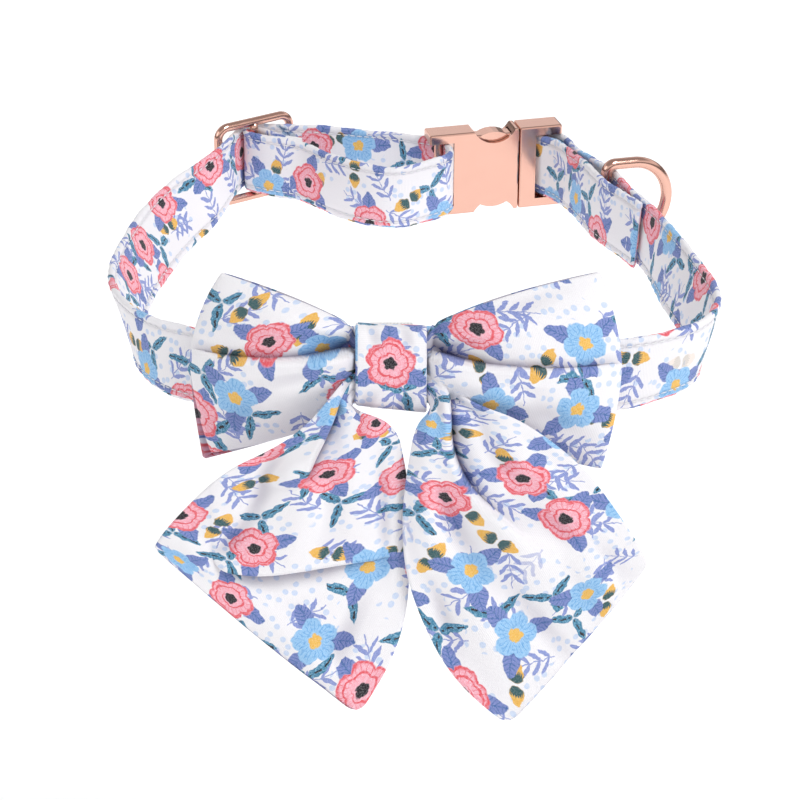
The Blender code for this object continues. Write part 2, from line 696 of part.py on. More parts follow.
def make_tail(name):
    """One tail of the bow, doubled cotton cut to a point."""
    return sheet_piece(name, bow_to_world(tail_grid(TAIL_ROWS[name], 15)), CLOTH)


def main():
    for old in list(bpy.data.objects):
        bpy.data.objects.remove(old)
    place = guide("buckle_place", BUCKLE_CENTRE, BUCKLE_YAW)
    make_neck_strap()
    make_adjuster_loop()
    make_ring_keeper()
    make_slider()
    make_buckle_body(place)
    make_buckle_tongue(place)
    make_d_ring()
    make_knot_band()
    make_bow_holder()
    for name in WING_SIZES:
        make_wing(name)
    for name in TAIL_ROWS:
        make_tail(name)


main()
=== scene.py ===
# %% [markdown]
# # A pet bow tie collar
# The real collar is a strap of webbing covered in printed cotton. It closes with a metal side
# release buckle, is made longer or shorter with a metal slider, and carries a D-ring. A sailor bow
# with two wings, a knot band and two pointed tails sits on its front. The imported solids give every
# place and size, so the scene starts by loading them and then dresses them piece by piece.
#
# ## How the parts are written
# Each soft piece is a surface of two parameters, worked out on a whole grid at once. The numbers
# are millimetres, and they turn into metres when a mesh is made.

# %% Load the frame
import math

import bpy
import numpy as np
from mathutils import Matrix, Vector


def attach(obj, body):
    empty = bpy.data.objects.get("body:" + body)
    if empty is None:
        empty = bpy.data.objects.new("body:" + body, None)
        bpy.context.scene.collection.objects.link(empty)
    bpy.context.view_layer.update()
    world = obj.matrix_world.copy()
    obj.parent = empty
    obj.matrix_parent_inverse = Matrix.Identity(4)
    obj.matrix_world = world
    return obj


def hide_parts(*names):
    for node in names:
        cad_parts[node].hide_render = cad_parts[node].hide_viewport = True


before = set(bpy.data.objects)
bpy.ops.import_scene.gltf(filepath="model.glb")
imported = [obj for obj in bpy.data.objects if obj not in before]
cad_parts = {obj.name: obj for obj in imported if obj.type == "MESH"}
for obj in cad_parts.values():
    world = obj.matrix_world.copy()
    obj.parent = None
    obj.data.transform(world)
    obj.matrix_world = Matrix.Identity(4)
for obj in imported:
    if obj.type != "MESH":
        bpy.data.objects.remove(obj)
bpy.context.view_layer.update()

MM = 0.001
print("nodes", sorted(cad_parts))

# %% [markdown]
# ## Small tools
# Most pieces share a few steps: vectors of length one, a curve through measured rows, and a mesh
# from a grid. A grid's faces follow from the numbering of its points, so they are made as one array
# too. Each corner of a face has its own place on the cloth, which lets a print run round a closed
# section without a jump.

# %% Vectors, curves and soft steps
def unit(vectors):
    """Vectors scaled to length one."""
    return vectors / np.linalg.norm(vectors, axis=-1, keepdims=True)


def ease(amount):
    """A soft step: 0 below 0, 1 above 1, and three squares less two cubes between."""
    amount = np.clip(amount, 0.0, 1.0)
    return amount * amount * (3.0 - 2.0 * amount)


def curve_through(rows, step, measured=3):
    """A smooth curve through every row. Between two rows it is their straight blend and a cubic
    sag, with the bend at each row chosen so that the slopes on both sides agree."""
    knots = np.asarray(rows, dtype=float)
    chord = np.linalg.norm(np.diff(knots[:, :measured], axis=0), axis=1)
    inner = np.arange(1, len(knots) - 1)
    system = np.eye(len(knots))
    system[inner, inner - 1] = chord[:-1]
    system[inner, inner] = 2.0 * (chord[:-1] + chord[1:])
    system[inner, inner + 1] = chord[1:]
    right = np.zeros_like(knots)
    right[inner] = 6.0 * np.diff(np.diff(knots, axis=0) / chord[:, None], axis=0)
    bend = np.linalg.solve(system, right)
    parts = np.maximum(1, np.ceil(chord / step)).astype(int)
    span = np.repeat(np.arange(len(chord)), parts)
    ahead = (np.arange(parts.sum()) - np.repeat(np.cumsum(parts) - parts, parts)) / parts[span]
    span = np.append(span, len(chord) - 1)
    ahead = np.append(ahead, 1.0)[:, None]
    back = 1.0 - ahead
    sag = (back ** 3 - back) * bend[span] + (ahead ** 3 - ahead) * bend[span + 1]
    return back * knots[span] + ahead * knots[span + 1] + sag * chord[span][:, None] ** 2 / 6.0


def run_length(line):
    """How far along a line of points each point is."""
    steps = np.linalg.norm(np.diff(line, axis=0), axis=-1)
    return np.concatenate([np.zeros((1,) + steps.shape[1:]), np.cumsum(steps, axis=0)])


# %% From a grid of points to an object
def grid_faces(rows, cols, round_rows=False, round_cols=False):
    """Quads of a grid as rows of four point numbers, and the same for the places on the cloth,
    whose grid has one more row or column where the shape closes on itself."""
    i, j = np.meshgrid(np.arange(rows - 1 + round_rows), np.arange(cols - 1 + round_cols), indexing="ij")
    i, j = i.ravel(), j.ravel()
    corners = [(i, j), (i, j + 1), (i + 1, j + 1), (i + 1, j)]
    points = np.stack([(a % rows) * cols + b % cols for a, b in corners], axis=1)
    places = np.stack([a * (cols + round_cols) + b for a, b in corners], axis=1)
    return points, places


def new_object(name, points, faces, finish, places=None, place_faces=None, smooth=True):
    """An object from points in millimetres. places are the cloth's own flat coordinates, in
    millimetres too, with 100 mm of cloth as one unit of the UV map."""
    mesh = bpy.data.meshes.new(name)
    mesh.from_pydata((np.asarray(points).reshape(-1, 3) * MM).tolist(), [], [list(f) for f in faces])
    if places is not None:
        layer = mesh.uv_layers.new(name="cloth")
        flat = np.asarray(places).reshape(-1, 2) / 100.0
        layer.data.foreach_set("uv", flat[np.concatenate([np.ravel(f) for f in place_faces])].ravel())
    mesh.validate()
    mesh.materials.append(finish)
    if smooth:
        mesh.shade_smooth()
    piece = bpy.data.objects.new(name, mesh)
    bpy.context.scene.collection.objects.link(piece)
    triangles = sum(len(p.vertices) - 2 for p in mesh.polygons)
    print(name, triangles, "triangles")
    return piece


def set_shade(piece, values):
    """Stores one number for each point, which the cotton reads as painted shade inside a fold."""
    layer = piece.data.attributes.new("fold_shade", "FLOAT", "POINT")
    layer.data.foreach_set("value", np.ravel(values).astype(np.float32))


def smoothed(values, reach):
    """Values of a grid averaged over a square window, reach points wide to each side. Each average
    is the difference of two running totals."""
    for axis in (0, 1):
        values = np.swapaxes(values, 0, axis)
        padded = np.pad(values, ((reach + 1, reach), (0, 0)), mode="edge")
        total = np.cumsum(padded, axis=0)
        values = np.swapaxes((total[2 * reach + 1:] - total[:-2 * reach - 1]) / (2 * reach + 1), 0, axis)
    return values


def depth_shade(relief, reach, deep):
    """How far a place lies below its surroundings, as a share of deep, between 0 and 1."""
    return np.clip((smoothed(relief, reach) - relief) / deep, 0.0, 1.0)


# %% [markdown]
# ## The cotton print
# The cloth is white poplin with a printed flower pattern: coral anemones with dark centres, sky
# blue five-petalled flowers with mustard middles, periwinkle leaf sprays, teal leaf pairs, mustard
# buds and pale blue berries. A printed picture could be painted by hand, but a pattern of nodes
# stays sharp at any distance and repeats nowhere. Each layer is one Voronoi pattern: it splits the
# cloth into cells, and the distance and direction from the cell's middle draw one motif in it.
# The random colour of a cell turns the motif and chooses its kind.

# %% Formulas as shader nodes
class Field:
    """A number at each point of a surface: a node's output that arithmetic works on, so that a
    pattern is written as its formula. Each step adds one Math node."""

    def __init__(self, tree, socket):
        self.tree, self.socket = tree, socket

    def __add__(self, other):
        return self.tree.math("ADD", self, other)

    def __sub__(self, other):
        return self.tree.math("SUBTRACT", self, other)

    def __rsub__(self, other):
        return self.tree.math("SUBTRACT", other, self)

    def __mul__(self, other):
        return self.tree.math("MULTIPLY", self, other)

    def __truediv__(self, other):
        return self.tree.math("DIVIDE", self, other)

    def __mod__(self, other):
        return self.tree.math("FLOORED_MODULO", self, other)

    def __pow__(self, other):
        return self.tree.math("POWER", self, other)

    def __abs__(self):
        return self.tree.math("ABSOLUTE", self)

    def sin(self):
        return self.tree.math("SINE", self)

    def cos(self):
        return self.tree.math("COSINE", self)


class Tree:
    """Adds shader nodes to a material or a world."""

    def __init__(self, owner):
        owner.use_nodes = True
        self.nodes = owner.node_tree.nodes
        self.links = owner.node_tree.links

    def connect(self, node, inputs):
        """Links fields to a node's inputs, and sets plain numbers and colours on them."""
        for key, value in inputs.items():
            if isinstance(value, Field):
                self.links.new(value.socket, node.inputs[key])
            else:
                node.inputs[key].default_value = value

    def add(self, kind, outputs, inputs, **settings):
        """One new node. Returns the field at its output, or one for each where several are named."""
        node = self.nodes.new(kind)
        for key, value in settings.items():
            setattr(node, key, value)
        self.connect(node, inputs)
        fields = [Field(self, node.outputs[name]) for name in outputs]
        return fields if len(fields) > 1 else fields[0]

    def math(self, kind, *values, clamp=False):
        """One step of arithmetic."""
        return self.add("ShaderNodeMath", [0], dict(enumerate(values)), operation=kind, use_clamp=clamp)

    def vector(self, kind, *values):
        """One step of arithmetic on vectors."""
        return self.add("ShaderNodeVectorMath", [0], dict(enumerate(values)), operation=kind)

    def noise(self, place, scale, detail, output="Fac", rough=0.5, dimensions="2D"):
        """Smooth random values that change over about one part in scale."""
        inputs = {"Vector": place, "Scale": scale, "Detail": detail, "Roughness": rough}
        return self.add("ShaderNodeTexNoise", [output], inputs, noise_dimensions=dimensions)

    def colour(self, share, low, high):
        """A blend of two colours."""
        low, high = [c if isinstance(c, Field) else (*c, 1.0) for c in (low, high)]
        return self.add("ShaderNodeMix", [2], {0: share, 6: low, 7: high}, data_type="RGBA")

    def below(self, value, limit, soft=0.06):
        """One where value is under limit and nought where it is over, with a soft edge."""
        return self.math("ADD", (limit - value) / soft, 0.5, clamp=True)

    def over(self, value, limit, soft=0.01):
        """One where value is over limit and nought where it is under, with a soft edge."""
        return self.math("ADD", (value - limit) / soft, 0.5, clamp=True)

    def between(self, value, low, high):
        """One where value is between low and high."""
        return self.below(value, high) * self.over(value, low, 0.06)

    def ramp(self, value, reach, result, how="LINEAR"):
        """The first result under the start of the reach, the second past its end, and a blend
        between."""
        inputs = {"Value": value, "From Min": reach[0], "From Max": reach[1], "To Min": result[0],
                  "To Max": result[1]}
        return self.add("ShaderNodeMapRange", ["Result"], inputs, interpolation_type=how)

    def bump(self, strength, distance, height):
        """A normal that is tilted as a relief of this height would tilt it."""
        inputs = {"Strength": strength, "Distance": distance, "Height": height}
        return self.add("ShaderNodeBump", ["Normal"], inputs)


def blank_material(name):
    """A new material, its surface shader and its tree."""
    made = bpy.data.materials.new(name)
    tree = Tree(made)
    return made, tree.nodes["Principled BSDF"], tree


# %% [markdown]
# ### The motifs
# A motif is a mask: one inside the shape and nought outside. Petals are a circle whose edge is
# pulled in by a cosine of the direction, leaves are ellipses set like spokes, and a sprig is a row
# of leaves along a stem.

# %% Colours and motifs
PINK = (0.90, 0.38, 0.46)
PINK_PALE = (0.93, 0.57, 0.66)
CORAL = (0.78, 0.085, 0.11)
DARK = (0.016, 0.012, 0.018)
SKY = (0.12, 0.36, 0.71)
SKY_PALE = (0.32, 0.57, 0.85)
MUSTARD = (0.76, 0.38, 0.045)
BUD_PALE = (0.88, 0.55, 0.14)
MIDDLE_PALE = (0.90, 0.60, 0.16)
OLIVE = (0.03, 0.10, 0.11)
LEAF = (0.19, 0.245, 0.55)
LEAF_VEIN = (0.05, 0.14, 0.37)
SPRIG = (0.32, 0.38, 0.71)
TEAL = (0.055, 0.22, 0.36)
TEAL_PALE = (0.17, 0.40, 0.58)
BERRY = (0.50, 0.63, 0.86)
WHITE = (0.87, 0.855, 0.885)
# Painted shade: the dim violet that the cotton's colour is multiplied towards in folds and on shaded faces.
PAINTED_SHADE_TINT = (0.36, 0.33, 0.42)
ROUND = 2.0 * math.pi


def cell(tree, cloth, spacing, spread, shift):
    """The cell that a point is in: its distance from the cell's middle in millimetres, its
    direction turned by a random angle, and the cell's three random numbers."""
    grid = tree.vector("DIVIDE", cloth, (spacing, spacing, 1.0))
    grid = tree.vector("ADD", grid, (shift, shift * 0.37, 0.0))
    far, middle, tint = tree.add("ShaderNodeTexVoronoi", ["Distance", "Position", "Color"],
                                 {"Vector": grid, "Scale": 1.0, "Randomness": spread},
                                 voronoi_dimensions="2D")
    x, y = tree.add("ShaderNodeSeparateXYZ", [0, 1], {0: tree.vector("SUBTRACT", grid, middle)})
    luck = tree.add("ShaderNodeSeparateColor", [0, 1, 2], {0: tint})
    return far * spacing, tree.math("ARCTAN2", y, x) + luck[1] * ROUND, luck


def petals(far, turn, count, size, notch):
    """How far out a point is as a share of a flower's edge, which is a circle with count rounded
    petals, each pulled in by notch where two meet."""
    wave = abs((turn * (count / 2.0)).cos()) ** 0.6
    return far / (wave * (size * notch) + size * (1.0 - notch))


def leaves(tree, far, turn, count, middle, long, wide):
    """Leaves set like spokes: count ellipses round the cell's middle. Returns how far a point is
    from the leaf's middle as a share of its edge, and how far it is off the midrib in millimetres."""
    share = ROUND / count
    folded = turn % share - share / 2.0
    off = far * folded.sin()
    a = (far * folded.cos() - middle) / long
    b = off / (a * (-wide * 0.35) + wide)
    return tree.math("SQRT", a * a + b * b), abs(off)


def sprig(tree, far, turn, pitch, long, wide, half):
    """Paired leaves along a straight stem through the cell's middle. The stem lies at no turn. A
    leaf is an ellipse in coordinates that slide along the stem as they leave it, which slants it."""
    x = far * turn.cos()
    away = abs(far * turn.sin())
    slid = x - away * 0.9
    a = (slid % pitch - pitch / 2.0) / wide
    b = (away - long) / long
    ends = tree.below(abs(slid + pitch * 0.5), half, 0.05)
    leaf = tree.below(tree.math("SQRT", a * a + b * b), 1.0, 0.16) * ends
    stem = tree.below(away, 0.17, 0.16) * tree.below(abs(x), half + 1.0, 0.3)
    return tree.math("MAXIMUM", leaf, stem)


# %% [markdown]
# ### The layers of the print
# The layers are laid over one another from the white ground up. Each takes the colour so far and
# returns it with its own motifs on top. A brush noise breaks the colours up as a brush would.

# %% Berries, sprigs, leaves and buds
def add_berries(tree, cloth, brush, shade):
    """Pale berries in loose clusters."""
    far, turn, luck = cell(tree, cloth, spacing=3.7, spread=0.62, shift=3.1)
    cluster = tree.noise(cloth, 0.062, 1.0)
    berry = tree.below(far, 0.98, 0.22) * tree.over(cluster, 0.49) * tree.over(luck[2], 0.22)
    return tree.colour(berry * (brush * 0.8 + 0.32), shade, BERRY)


def add_sprigs(tree, cloth, brush, shade):
    """Periwinkle sprigs of two spacings."""
    for spacing, shift in ((19.0, 7.7), (25.0, 15.3)):
        far, turn, luck = cell(tree, cloth, spacing, 0.5, shift)
        mask = sprig(tree, far, turn, pitch=3.5, long=1.9, wide=0.92, half=6.1)
        mask = mask * tree.below(luck[0], 0.8, 0.01)
        shade = tree.colour(mask, shade, tree.colour(brush, LEAF, SPRIG))
    return shade


def add_leaves_and_buds(tree, cloth, brush, shade):
    """Long teal leaves with a broken dark midrib, and mustard buds with a dark cap in the other
    cells."""
    far, turn, luck = cell(tree, cloth, spacing=20.0, spread=0.6, shift=12.4)
    shape, off = leaves(tree, far, turn, count=3.0, middle=5.2, long=4.9, wide=1.45)
    leaf = tree.below(shape, 1.0, 0.12) * tree.below(luck[0], 0.6, 0.01)
    rib = leaf * tree.below(off, 0.26, 0.12) * tree.below(shape, 0.85, 0.1)
    rib = rib * tree.over((far * 1.9).sin(), -0.6, 0.3)
    shade = tree.colour(leaf, shade, tree.colour(tree.over(brush, 0.56, 0.12), TEAL, TEAL_PALE))
    shade = tree.colour(rib, shade, DARK)
    shape, off = leaves(tree, far, turn, count=2.0, middle=3.6, long=3.1, wide=2.3)
    bud = tree.below(shape, 1.0, 0.12) * tree.over(luck[0], 0.70)
    fringe = abs((off * 4.5).sin())
    cap = bud * tree.below(far, fringe * 1.1 + 2.9, 0.3)
    shade = tree.colour(bud, shade, tree.colour(brush, MUSTARD, BUD_PALE))
    return tree.colour(cap, shade, OLIVE)


# %% Blossoms
def coral_blossom(tree, far, turn, fine, brush):
    """A coral anemone: pink petals, strokes that fan and swirl, a coral edge and a dark middle.
    Returns its colour and its mask."""
    out = petals(far, turn, count=5.0, size=8.0, notch=0.20)
    swirl = (out * 17.0 + turn).sin()
    fan = tree.between(out, 0.5, 0.9) * tree.below(fine, 0.16, 0.2)
    curl = tree.between(out, 0.36, 0.9) * tree.over(swirl, 0.72, 0.3)
    stroke = tree.math("MAXIMUM", fan, curl) * tree.over(brush, 0.36, 0.2)
    edge = tree.between(out, 0.88, 1.0) * tree.over(brush, 0.40, 0.2)
    bloom = tree.colour(tree.over(brush, 0.54, 0.3), PINK, PINK_PALE)
    bloom = tree.colour(tree.math("MAXIMUM", edge, stroke), bloom, CORAL)
    return tree.colour(tree.below(out, 0.27, 0.04), bloom, DARK), tree.below(out, 1.0, 0.05)


def sky_blossom(tree, far, turn, fine, brush):
    """A sky blue flower with fine lines on its petals and a mustard middle. Returns its colour and
    its mask."""
    out = petals(far, turn, count=5.0, size=7.2, notch=0.30)
    lines = tree.between(out, 0.42, 0.85) * tree.below(fine, 0.25, 0.25)
    deep = tree.math("MAXIMUM", lines, tree.over(brush, 0.60, 0.15))
    bloom = tree.colour(deep, SKY_PALE, SKY)
    middle = tree.colour(brush, MUSTARD, MIDDLE_PALE)
    return tree.colour(tree.below(out, 0.32, 0.05), bloom, middle), tree.below(out, 1.0, 0.05)


def add_blossoms(tree, cloth, brush, shade):
    """One blossom to a cell, coral or sky blue by the cell's luck, over three broad veined leaves."""
    far, turn, luck = cell(tree, cloth, spacing=27.0, spread=0.45, shift=21.9)
    shape, off = leaves(tree, far, turn, count=3.0, middle=9.0, long=4.2, wide=2.7)
    ribs = tree.below(abs((off * 2.0 + far * -2.3).sin()), 0.40, 0.35)
    vein = tree.math("MAXIMUM", ribs, tree.below(off, 0.22, 0.15)) * tree.over(brush, 0.40, 0.2)
    shade = tree.colour(tree.below(shape, 1.0, 0.1), shade, tree.colour(vein, LEAF, LEAF_VEIN))
    fine = abs((turn * 11.0).sin())
    for blossom, kind in ((coral_blossom, tree.below(luck[0], 0.52, 0.01)),
                          (sky_blossom, tree.over(luck[0], 0.52))):
        bloom, mask = blossom(tree, far, turn, fine, brush)
        shade = tree.colour(mask * kind, shade, bloom)
    return shade


# %% [markdown]
# ### The cloth under the print
# Poplin has fine ribs, and the dye misses some of the valleys between its threads. The studio's
# lights also reach less far into a fold than across a flat, so that shade is painted in: each soft
# piece stores on its points how deep they lie in a fold, and the cotton multiplies its colour towards
# a dim violet there.

# %% Printed cotton
RIB_X = 0.55
RIB_Y = 0.42


def printed_cotton(name):
    """The whole print on the cloth's own coordinates, from the white ground up to the blossoms."""
    made, shader, tree = blank_material(name)
    uv = tree.add("ShaderNodeUVMap", [0], {}, uv_map="cloth")
    cloth = tree.vector("MULTIPLY", uv, (100.0, 100.0, 0.0))
    wobble = tree.vector("SUBTRACT", tree.noise(cloth, 0.34, 2.0, output="Color"), (0.5, 0.5, 0.0))
    drawn = tree.vector("ADD", cloth, tree.vector("MULTIPLY", wobble, (1.7, 1.7, 0.0)))
    brush = tree.noise(cloth, 1.15, 3.0, rough=0.7)
    shade = add_berries(tree, cloth, brush, WHITE)
    for layer in (add_sprigs, add_leaves_and_buds, add_blossoms):
        shade = layer(tree, drawn, brush, shade)
    x, y = tree.add("ShaderNodeSeparateXYZ", [0, 1], {0: cloth})
    weave = (y * (ROUND / RIB_Y)).sin() * 0.5 + (x * (ROUND / RIB_X)).sin()
    dye = tree.noise(cloth, 2.3, 3.0)
    shade = tree.colour(tree.over(dye, 0.55, 0.25) * 0.12, shade, WHITE)
    # The tone is a little darker where the ribs and the noise lower the bump: partly painted shade in the
    # rib valleys, partly uneven dye.
    tone = weave * 0.018 + 0.945 + dye * 0.08
    shade = tree.add("ShaderNodeHueSaturation", [0], {"Color": shade, "Value": tone})
    # Painted shade: the stored fold shade multiplies the print's colour towards a dim violet.
    fold = tree.add("ShaderNodeAttribute", ["Fac"], {}, attribute_name="fold_shade")
    shade = tree.vector("MULTIPLY", shade, tree.colour(fold, (1.0, 1.0, 1.0), PAINTED_SHADE_TINT))
    tree.connect(shader, {"Base Color": shade, "Normal": tree.bump(0.25, 0.00012, dye * 0.6 + weave),
                          "Roughness": 0.86, "Sheen Weight": 0.12, "Sheen Roughness": 0.5,
                          "Specular IOR Level": 0.25})
    print(name, len(tree.nodes), "nodes")
    return made


COTTON = printed_cotton("printed_cotton_cloth")

# %% [markdown]
# ## The metal, the elastic and the thread
# The hardware is die-cast metal with a polished rose gold plating. Its colour is the metal's own
# reflection, so the base colour is a light copper pink and the shader is fully metallic. Plating is
# never perfectly even: a slow noise changes the tint and the gloss a little. The bow's holder is
# plain white ribbed elastic, and the seams are sewn in white thread.

# %% Rose gold plating
def rose_gold(name):
    """Polished plating with faint changes of gloss and shallow casting waves."""
    made, shader, tree = blank_material(name)
    place = tree.add("ShaderNodeTexCoord", ["Object"], {})
    slow = tree.noise(place, 160.0, 3.0, dimensions="3D")
    fine = tree.noise(place, 1400.0, 2.0, dimensions="3D")
    tint = tree.colour(slow, (0.70, 0.405, 0.325), (0.75, 0.445, 0.36))
    tree.connect(shader, {"Base Color": tint, "Roughness": slow * 0.10 + (fine * 0.05 + 0.09),
                          "Normal": tree.bump(0.05, 0.0002, slow), "Metallic": 1.0})
    return made


GOLD = rose_gold("rose_gold_plate")


# %% Elastic and thread
def ribbed_elastic(name):
    """White knitted elastic: a sine across the band for the ribs, and a weaker one along it."""
    made, shader, tree = blank_material(name)
    uv = tree.add("ShaderNodeUVMap", [0], {}, uv_map="cloth")
    x, y = tree.add("ShaderNodeSeparateXYZ", [0, 1], {0: tree.vector("MULTIPLY", uv, (100.0, 100.0, 0.0))})
    knit = (x * (ROUND / 0.7)).sin() * 0.3 + (y * (ROUND / 1.1)).sin()
    # Painted shade: the elastic is greyer in the valleys of its ribs and whiter on their tops, by the same
    # sines that make the bump.
    tone = tree.colour(knit * 0.35 + 0.5, (0.70, 0.70, 0.69), (0.90, 0.90, 0.89))
    tree.connect(shader, {"Base Color": tone, "Normal": tree.bump(0.5, 0.0002, knit), "Roughness": 0.9})
    return made


def sewing_thread(name):
    """White twisted thread, with a fine noise for the twist."""
    made, shader, tree = blank_material(name)
    place = tree.add("ShaderNodeTexCoord", ["Object"], {})
    twist = tree.noise(place, 2600.0, 1.0, dimensions="3D")
    tone = tree.colour(twist, (0.72, 0.73, 0.75), (0.92, 0.92, 0.93))
    tree.connect(shader, {"Base Color": tone, "Roughness": 0.7})
    return made


ELASTIC = ribbed_elastic("white_elastic_band")
THREAD = sewing_thread("white_thread")

# %% [markdown]
# ## The strap
# The strap is one long strip: 25.4 mm webbing in a cotton tube, sewn flat along both edges. It
# starts at the end that is sewn round the slider's middle bar, runs back to the buckle, round its
# bar, out through the slider, all the way round the neck, through the other half of the buckle and
# back inside the neck, where it is sewn down over the D-ring. A flat strap is best carried along a
# measured line, because a cloth simulation would wash out its edges. The line is a table of places
# with a lean, since the strap tips out of the upright as it goes round the neck.

# %% The strap's line
STRAP_WIDTH = 25.4
STRAP_THICK = 2.2
STRAP_STEP = 0.9
SEAM_IN = 2.7
STITCH_PITCH = 2.9
GAP = 0.3
BAR_RADIUS = 1.6
WIRE_RADIUS = 1.7
BUCKLE_CENTRE = (36.8, 89.0)
BUCKLE_YAW = 14.0
BODY_BAR_AT = -22.5
TONGUE_BAR_AT = 21.0
SLIDER_CENTRE = (-57.9, 92.5)

SEWN_ROWS = [(-38.9, 84.2, 1.2, 0.0), (-47.4, 87.2, 1.5, 0.0)]
RETURN_ROWS = [
    # x, y, z, lean
    (-49.0, 84.8, 1.5, 0.0), (-40.0, 81.5, 1.2, 0.0), (-31.5, 74.4, 0.6, 0.0),
    (-21.8, 65.6, 0.2, 0.0), (-13.0, 60.2, 0.0, 0.0), (-0.8, 57.2, 0.0, 0.0),
    (11.2, 64.0, 0.0, 0.0), (18.2, 70.2, 0.0, 0.0), (19.8, 76.5, 0.0, 0.0),
]
NECK_ROWS = [
    # x, y, z, lean
    (7.5, 89.8, 0.0, 0.0), (-3.0, 93.2, 0.2, 0.0), (-17.0, 95.6, 0.6, 0.0),
    (-31.0, 97.4, 1.3, 0.0), (-44.5, 98.3, 1.7, 0.0), (-53.0, 98.7, 1.8, 0.0),
    (-58.9, 98.2, 1.8, 0.0), (-61.0, 97.5, 1.8, 0.0), (-62.5, 96.2, 1.8, 0.0),
    (-64.9, 90.5, 1.7, 0.0), (-67.8, 81.2, 1.5, 1.0), (-73.4, 70.0, -1.2, 9.0),
    (-84.0, 54.5, -5.6, 27.0), (-92.0, 32.7, -8.0, 29.0), (-96.5, 8.0, -8.5, 26.0),
    (-97.5, -24.0, -8.0, 21.0), (-92.0, -49.0, -6.0, 7.0), (-81.0, -67.5, -4.5, -4.0),
    (-66.0, -79.5, -3.0, -17.0), (-38.0, -92.2, 2.1, -18.0), (-14.0, -95.4, 5.6, -17.0),
    (8.0, -96.0, 6.0, -17.0), (32.0, -97.3, 5.4, -14.0), (54.0, -98.2, 3.7, -8.0),
    (71.0, -97.2, 3.0, -3.0), (86.0, -90.5, 3.0, 4.0), (97.5, -81.0, 3.0, 8.0),
    (103.0, -66.0, 3.0, 13.0), (102.0, -48.0, 3.0, 17.0), (95.6, -13.2, 3.0, 13.0),
    (90.0, 14.4, 3.0, 4.0), (86.0, 25.8, 3.0, 3.0), (83.3, 35.0, 3.0, 3.0),
    (80.6, 45.4, 3.0, 3.0), (75.6, 57.0, 2.4, 2.0), (71.6, 67.0, 1.8, 1.0),
    (68.0, 77.0, 1.0, 0.0), (66.4, 86.0, 0.2, 0.0), (62.8, 93.4, 0.0, 0.0),
]
KEEPER_ROWS = [
    # x, y, z, lean, tipped the other way because the strap now runs back
    (59.6, 87.4, 0.0, 0.0), (64.8, 76.0, 1.0, 0.0), (68.9, 62.0, 2.2, -2.0),
    (71.9, 50.0, 2.8, -3.0), (73.8, 42.8, 3.0, -3.0), (77.8, 33.0, 3.0, -3.0),
    (82.7, 23.5, 3.0, -3.0), (87.2, 13.6, 3.0, -4.0),
]


def buckle_point(along):
    """A point of the buckle's middle line."""
    turn = math.radians(BUCKLE_YAW)
    return (BUCKLE_CENTRE[0] + along * math.cos(turn), BUCKLE_CENTRE[1] + along * math.sin(turn))


def arc(centre, radius, start, end, count, height):
    """Rows on an arc about an upright bar."""
    turn = np.radians(np.linspace(start, end, count))
    rows = np.stack([centre[0] + radius * np.cos(turn), centre[1] + radius * np.sin(turn)], axis=1)
    return np.concatenate([rows, np.full((count, 1), height), np.zeros((count, 1))], axis=1)


BAR_TURN = BAR_RADIUS + GAP + STRAP_THICK / 2.0
SLIDER_TURN = WIRE_RADIUS + GAP + STRAP_THICK / 2.0
strap_rows = np.concatenate([
    SEWN_ROWS,
    arc(SLIDER_CENTRE, SLIDER_TURN, 50.0, 244.0, 10, 1.7),
    RETURN_ROWS,
    arc(buckle_point(BODY_BAR_AT), BAR_TURN, 3.0, 66.0, 5, 0.0),
    NECK_ROWS,
    arc(buckle_point(TONGUE_BAR_AT), BAR_TURN, 60.0, 223.0, 10, 0.0),
    KEEPER_ROWS,
])
strap_line = curve_through(strap_rows, STRAP_STEP)
strap_run = run_length(strap_line[:, :3])
print("strap, end to end", round(float(strap_run[-1]), 1), "mm")

# %% [markdown]
# A point of the strap is the line's point, plus a step across the width and a step through the
# thickness. Across is the upright tipped by the lean, and the face points to the right of the way
# along. The cut section is a flat with round edges, pressed in a little along both seam lines.

# %% The strap's directions and section
def strap_frame(line):
    """Along, across the width and out of the face, at every point of the line."""
    step = unit(np.diff(line[:, :3], axis=0))
    along = unit(np.concatenate([step[:1], step[:-1] + step[1:], step[-1:]]))
    level = unit(np.stack([along[:, 1], -along[:, 0], np.zeros(len(line))], axis=1))
    lean = np.radians(line[:, 3:4])
    across = np.cos(lean) * np.array([0.0, 0.0, 1.0]) + np.sin(lean) * level
    across = unit(across - (across * along).sum(axis=1, keepdims=True) * along)
    return along, across, np.cross(along, across)


def round_flat(width, thick, across, around):
    """A closed section: a flat front, a half round edge, a flat back and the other edge. Returns
    the points and how far round the section each one is."""
    r = thick / 2.0
    flat = np.linspace(-(width / 2.0 - r), width / 2.0 - r, across)
    turn = np.radians(np.linspace(90.0, -90.0, around + 2)[1:-1])
    edge = np.stack([width / 2.0 - r + r * np.cos(turn), r * np.sin(turn)], axis=1)
    front = np.stack([flat, np.full(across, r)], axis=1)
    points = np.concatenate([front, edge, -front, -edge])
    return points, run_length(np.concatenate([points, points[:1]]))


